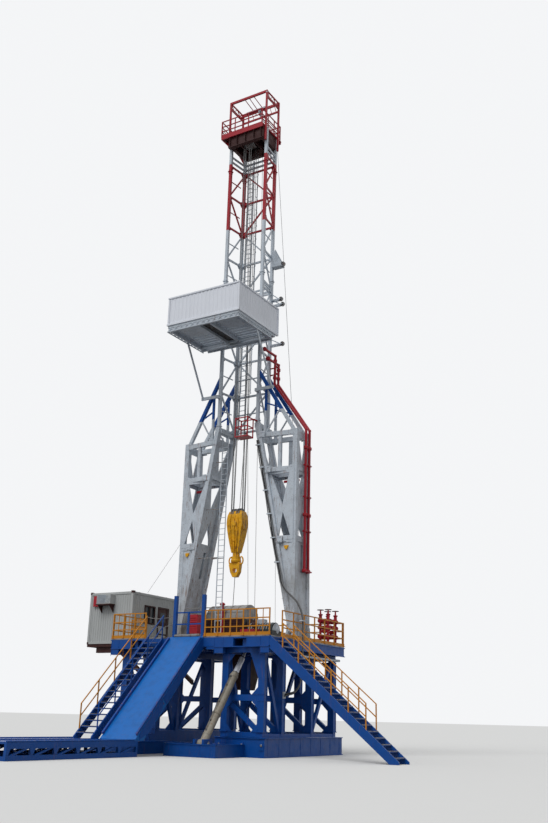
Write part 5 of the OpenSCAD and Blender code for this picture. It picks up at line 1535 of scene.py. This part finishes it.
class RIG_OT_substructure(bpy.types.Operator):
    """Add the gussets, base plates, bolts, lifting lugs and cable tray of the substructure"""

    bl_idname = "rig.substructure"
    bl_label = "Substructure fittings"

    def execute(self, context):
        bolt = context.scene.rig_sizes.bolt
        low, high = placed(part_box("frame_right"))
        w = 0.28  # width of a post
        xs, ys = (low[0], high[0] - w), (low[1], -2.45, 0.3, high[1] - w)
        foot, head = low[2] + 0.21, high[2] - 0.31
        blue, bolts, lugs = [], [], []
        for x in xs:
            for y in ys:
                post = np.array([x, y, 0])
                # base and head plates, the rims of the middle beams, and the flange edges down each post
                for z0, z1, grow, cut in ((foot, foot + 0.03, 0.06, 0.02), (head - 0.03, head, 0.04, 0.02),
                                          (2.34, 2.362, 0.03, 0.015), (2.62, 2.642, 0.03, 0.015)):
                    blue.append(cut_boxes(post + [-grow, -grow, z0], post + [w + grow, w + grow, z1], cut))
                for dy in (-0.008, w):
                    blue.append(cut_boxes(post + [-0.03, dy, foot + 0.03],
                                          post + [w + 0.03, dy + 0.012, head - 0.03], 0.004))
                bolts.append(hex_heads([post + [dx, dy, foot + 0.03] for dx in (-0.02, w + 0.02)
                                        for dy in (-0.02, w + 0.02)], Z, bolt))
        for y in ys:
            for x, way in ((xs[0] + w, 1), (xs[1], -1)):
                for z, wide, tall in ((2.62, 0.34, 0.34), (2.35, 0.34, -0.34), (head, 0.4, -0.44),
                                      (foot, 0.34, 0.37)):
                    blue.append(plate_y(y - 0.006, [(x, z), (x + way * wide, z), (x, z + tall)], 0.014))
        # base: stiffeners and flanges along its sides, lifting lugs in front
        (inner, toe, _), (outer, _, top) = placed(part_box("base_right"))
        for y in np.linspace(-4.2, 2.6, 8):
            blue.append(plate_x(outer + 0.003, [(y, 0.08), (y + 0.16, 0.08), (y + 0.16, top - 0.06),
                                                (y, top - 0.06)], 0.012))
        for z in (0.02, top - 0.02):
            blue.append(cut_boxes((outer - 0.01, FRONT - 0.01, z - 0.018),
                                  (outer + 0.06, REAR, z + 0.018), 0.004))
            blue.append(cut_boxes((xs[0] - 0.01, FRONT - 0.06, z - 0.018),
                                  (outer + 0.01, FRONT, z + 0.018), 0.004))
        for x in (2.1, 3.3, 4.3):
            blue.append(plate_y(FRONT - 0.02, tapered(x, 0.3, 0.62, 0.11, 0.07), 0.03))
            lugs.append(turned(capped([(0, 0.05), (0.03, 0.055), (0.05, 0.03)]),
                               (x, FRONT - 0.035, 0.5), -Y, 12))
        # shoe of the raising cylinder: edge plates and stiffeners
        shoe = 3.42  # x of its outer side
        for x in (inner, shoe):
            blue.append(cut_boxes((x - 0.03, toe - 0.02, 0.49), (x + 0.03, FRONT, 0.53), 0.004))
        blue.append(cut_boxes((inner - 0.03, toe - 0.03, 0.49), (shoe + 0.03, toe + 0.04, 0.53), 0.004))
        blue += [plate_y(toe - 0.004, tapered(x + 0.006, 0.06, 0.48, 0.006, 0.006), 0.012)
                 for x in np.linspace(inner + 0.27, shoe - 0.27, 5)]
        # floor edge: cleats and flanges under the deck
        blue += [plate_y(FRONT - 0.006, tapered(x + 0.007, 4.34, 5.1, 0.007, 0.007), 0.012)
                 for x in (1.6, 2.08, 4.08, 4.54)]
        blue.append(cut_boxes((1.6, FRONT - 0.03, 4.66), (SIDE + 0.04, FRONT + 0.01, 4.7), 0.004))
        blue += [cut_boxes((SIDE - 0.01, FRONT - 0.03, z), (SIDE + 0.04, REAR + 0.04, z + 0.04), 0.004)
                 for z in (4.66, 5.07)]
        piece("substructure_gussets", both(blue), "structure")
        piece("substructure_bolts", both(bolts), "structure")
        piece("substructure_lugs", both(lugs), "steel")

        start, end, near, far, z = -3.0, 2.6, 4.2, 4.48, 4.46
        y = np.linspace(start, end, 24)
        trays = [bars((far, start, z + 0.04), (far, end, z + 0.04), 0.02, 0.02),
                 bars(places(near, y, z - 0.04), places(far, y, z - 0.04), 0.02, 0.03)]
        trays += [bars((x, start, z), (x, end, z), 0.1, 0.02) for x in (near, far)]
        piece("cable_tray", trays, "mast")
        piece("tray_cables", [swept(places(x, (start + 0.05, 0.0, end - 0.05), z - 0.01), 0.02, 6)
                              for x in near + 0.06 + 0.05 * np.arange(4)], "rubber")
        return {"FINISHED"}


class RIG_OT_cylinders(bpy.types.Operator):
    """Add the gland rings, band clamps, oil ports, pipes and pin keepers of the raising cylinders"""

    bl_idname = "rig.cylinders"
    bl_label = "Raising cylinder fittings"

    def execute(self, context):
        foot, head = np.array([2.4, -6.18, 0.52]), np.array([2.4, -2.92, FLOOR - 0.44])
        axis = unit(head - foot)
        across = np.cross(axis, X)
        across *= np.sign(across[2])

        def beside(s, r=0.0):
            """A point s along the cylinder from its foot pin and r off its axis, on the upper side."""
            return foot + axis * s + across * r

        rings, pipes, pins = [], [], []
        for s, r, w in ((0.45, 0.19, 0.05), (1.55, 0.212, 0.03), (2.6, 0.184, 0.05), (3.62, 0.2, 0.12)):
            half = [(-w / 2, 0.17), (-w / 2, r - 0.01), (-w / 2 + 0.01, r)]
            band = half + [(-along, radius) for along, radius in half[::-1]]
            rings.append(turned(band, beside(s), axis, 28))
        gland = [(0, 0.13), (0, 0.165), (0.05, 0.165), (0.08, 0.14), (0.08, 0.13)]
        collar = [(0, 0.075), (0, 0.115), (0.05, 0.12), (0.1, 0.1), (0.1, 0.075)]
        pins += [turned(gland, beside(3.78), axis, 28), turned(collar, beside(4.66), axis, 24)]
        route = [beside(s, r) for s, r in ((0.6, 0.175), (0.6, 0.235), (0.75, 0.25), (1.6, 0.255),
                                           (2.7, 0.25), (3.35, 0.25), (3.5, 0.235), (3.5, 0.175))]
        pipes.append(swept(smooth_path(route, 5), 0.018, 6))
        pipes += [bars(beside(s, 0.16), beside(s, 0.26), 0.05, 0.06) for s in (1.1, 2.1, 3.0)]
        port = capped([(0, 0.045), (0.05, 0.045), (0.06, 0.03)])
        pipes += [turned(port, beside(s, 0.165), across, 12) for s in (0.6, 3.5)]
        keeper = capped([(0, 0.075), (0.02, 0.085), (0.05, 0.07)])
        for end, w in ((foot, 0.29), (head, 0.165)):
            for way in BOTH_WAYS:
                place = end + way * w * X
                pins.append(turned(keeper, place, way * X, 16))
                pins.append(hex_heads([place + dz * Z for dz in (-0.11, 0.11)], way * X, 0.04))
        piece("cylinder_rings", both(rings), "cylinder")
        piece("cylinder_pipes", both(pipes), "steel")
        piece("cylinder_pins", both(pins), "steel")
        return {"FINISHED"}


class RIG_OT_standpipes(bpy.types.Operator):
    """Add the unions, collars, caps and bolts of the standpipes and the stabbing board's grating"""

    bl_idname = "rig.standpipes"
    bl_label = "Standpipe fittings"

    def execute(self, context):
        union = [(-0.09, 0.07), (-0.09, 0.1), (-0.05, 0.125), (0.05, 0.125), (0.09, 0.1), (0.09, 0.07)]
        collar = [(-0.07, 0.07), (-0.07, 0.11), (0.07, 0.11), (0.07, 0.07)]
        cap = [(-0.02, 0.07), (-0.02, 0.13), (0.03, 0.13), (0.05, 0.1), (0.09, 0.1), (0.12, 0.05),
               (0.12, 0.001)]
        red, steel = [], []
        for k in (0, 1):
            x, y = 3.69, 0.18 + 0.38 * k
            red += [turned(union, (x, y, z), Z, 16) for z in (8.72, 11.6, 15.2)]
            bend = WAIST + 2.5 + 0.06 * k
            end = bend + 1.65 - 0.48 * k
            red += [turned(collar, (1.66, y, z), Z, 14) for z in (bend + 0.35, end - 0.3)]
            red.append(turned(cap, (1.66, y - 1.15, end), -Y, 16))
            steel += [hex_heads([(3.78, y + dy, z) for dy in (-0.07, 0.07)], X, 0.04)
                      for z in (10.75, 12.55, 14.25)]
        red.append(cut_boxes((3.62, 0.02, 8.66), (3.84, 0.72, 8.72), 0.02))
        piece("standpipe_unions", red, "red")
        piece("standpipe_bolts", steel, "steel")
        low = placed(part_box("stabbing_board"))[0]
        floor = grating((low[0] + 0.06, -1.74, low[2] + 0.075), (1.2, -1.16), 0.05, 0.008, 0.03)
        piece("stabbing_board_grating", [floor], "steel")
        return {"FINISHED"}


class RIG_OT_hoses(bpy.types.Operator):
    """Strap the three service hoses down the right leg and hang them over the floor edge to the frame post"""

    bl_idname = "rig.hoses"
    bl_label = "Service hoses"

    def execute(self, context):
        r = context.scene.rig_sizes.hose / 2
        steps = np.arange(15.6, 9.0, -0.6)
        lean = np.array([lean_point(0, z) for z in steps])
        # the free stretch: out over the floor edge, down beside the frame and in to its second post
        free = np.array([(2.78, -0.80, 8.5), (3.0, -0.95, 7.95), (3.45, -1.2, 7.5), (3.95, -1.5, 7.2),
                         (4.38, -1.68, 6.85), (4.66, -1.74, 6.3), (4.72, -1.74, 5.6), (4.73, -1.74, 4.8),
                         (4.74, -1.76, 3.9), (4.72, -1.9, 3.2), (4.56, -2.1, 2.84), (4.3, -2.22, 2.74),
                         (4.1, -2.24, 2.7)])
        n = len(free)
        for i in range(3):
            wave = 0.014 * np.sin(2.1 * steps + 1.7 * i)
            strapped = places(lean[:, 0] - 0.15 + 0.07 * i + wave, lean[:, 1] - r - 0.126, steps)
            fan = i * np.linspace((0.05, 0.013, 0.025), (0, -0.039, -0.05), n)
            path = smooth_path(np.concatenate([strapped, free + fan]), 5)
            hose = piece(f"service_hose_{i + 1}", [swept(path, r)], "rubber" if i == 1 else "hose")
        straps = []
        for z in np.arange(15.3, 9.0, -1.25):
            x, y = lean_point(0, z)
            straps.append(cut_boxes((x - 0.23, y - 0.235, z), (x + 0.05, y - 0.15, z + 0.06), 0.01))
        straps.append(cut_boxes((4.08, -2.42, 2.5), (4.12, -2.16, 2.8), 0.01))
        straps += [cut_boxes((4.6, -1.9, z), (4.79, -1.62, z + 0.05), 0.01) for z in (6.0, 4.3)]
        piece("hose_straps", straps, "mast")
        return {"FINISHED"}


class RIG_PT_panel(bpy.types.Panel):
    """The rig's pieces, sizes and colours in the sidebar"""

    bl_idname = "RIG_PT_panel"
    bl_label = "Land drilling rig"
    bl_space_type = "VIEW_3D"
    bl_region_type = "UI"
    bl_category = "Rig"

    def draw(self, context):
        for group in (context.scene.rig_sizes, context.scene.rig_paints, context.scene.rig_view):
            box = self.layout.box()
            for key in group.__annotations__:
                box.prop(group, key)
        for operator in OPERATORS:
            self.layout.operator(operator.bl_idname)


OPERATORS = (RIG_OT_stage, RIG_OT_paint, RIG_OT_wind_walls, RIG_OT_racking, RIG_OT_tower, RIG_OT_legs,
             RIG_OT_crown, RIG_OT_block, RIG_OT_ropes, RIG_OT_floor, RIG_OT_cabin, RIG_OT_rails, RIG_OT_ramp,
             RIG_OT_stairs, RIG_OT_substructure, RIG_OT_cylinders, RIG_OT_standpipes, RIG_OT_hoses)
GROUPS = (RigPaints, RigSizes, RigView)


def register():
    for cls in (*GROUPS, *OPERATORS, RIG_PT_panel):
        bpy.utils.register_class(cls)
    bpy.types.Scene.rig_paints = PointerProperty(type=RigPaints)
    bpy.types.Scene.rig_sizes = PointerProperty(type=RigSizes)
    bpy.types.Scene.rig_view = PointerProperty(type=RigView)


def unregister():
    del bpy.types.Scene.rig_view, bpy.types.Scene.rig_sizes, bpy.types.Scene.rig_paints
    for cls in reversed((*GROUPS, *OPERATORS, RIG_PT_panel)):
        bpy.utils.unregister_class(cls)


def main():
    register()
    for operator in OPERATORS:
        group, name = operator.bl_idname.split(".")
        getattr(getattr(bpy.ops, group), name)()


if __name__ == "__main__":
    main()
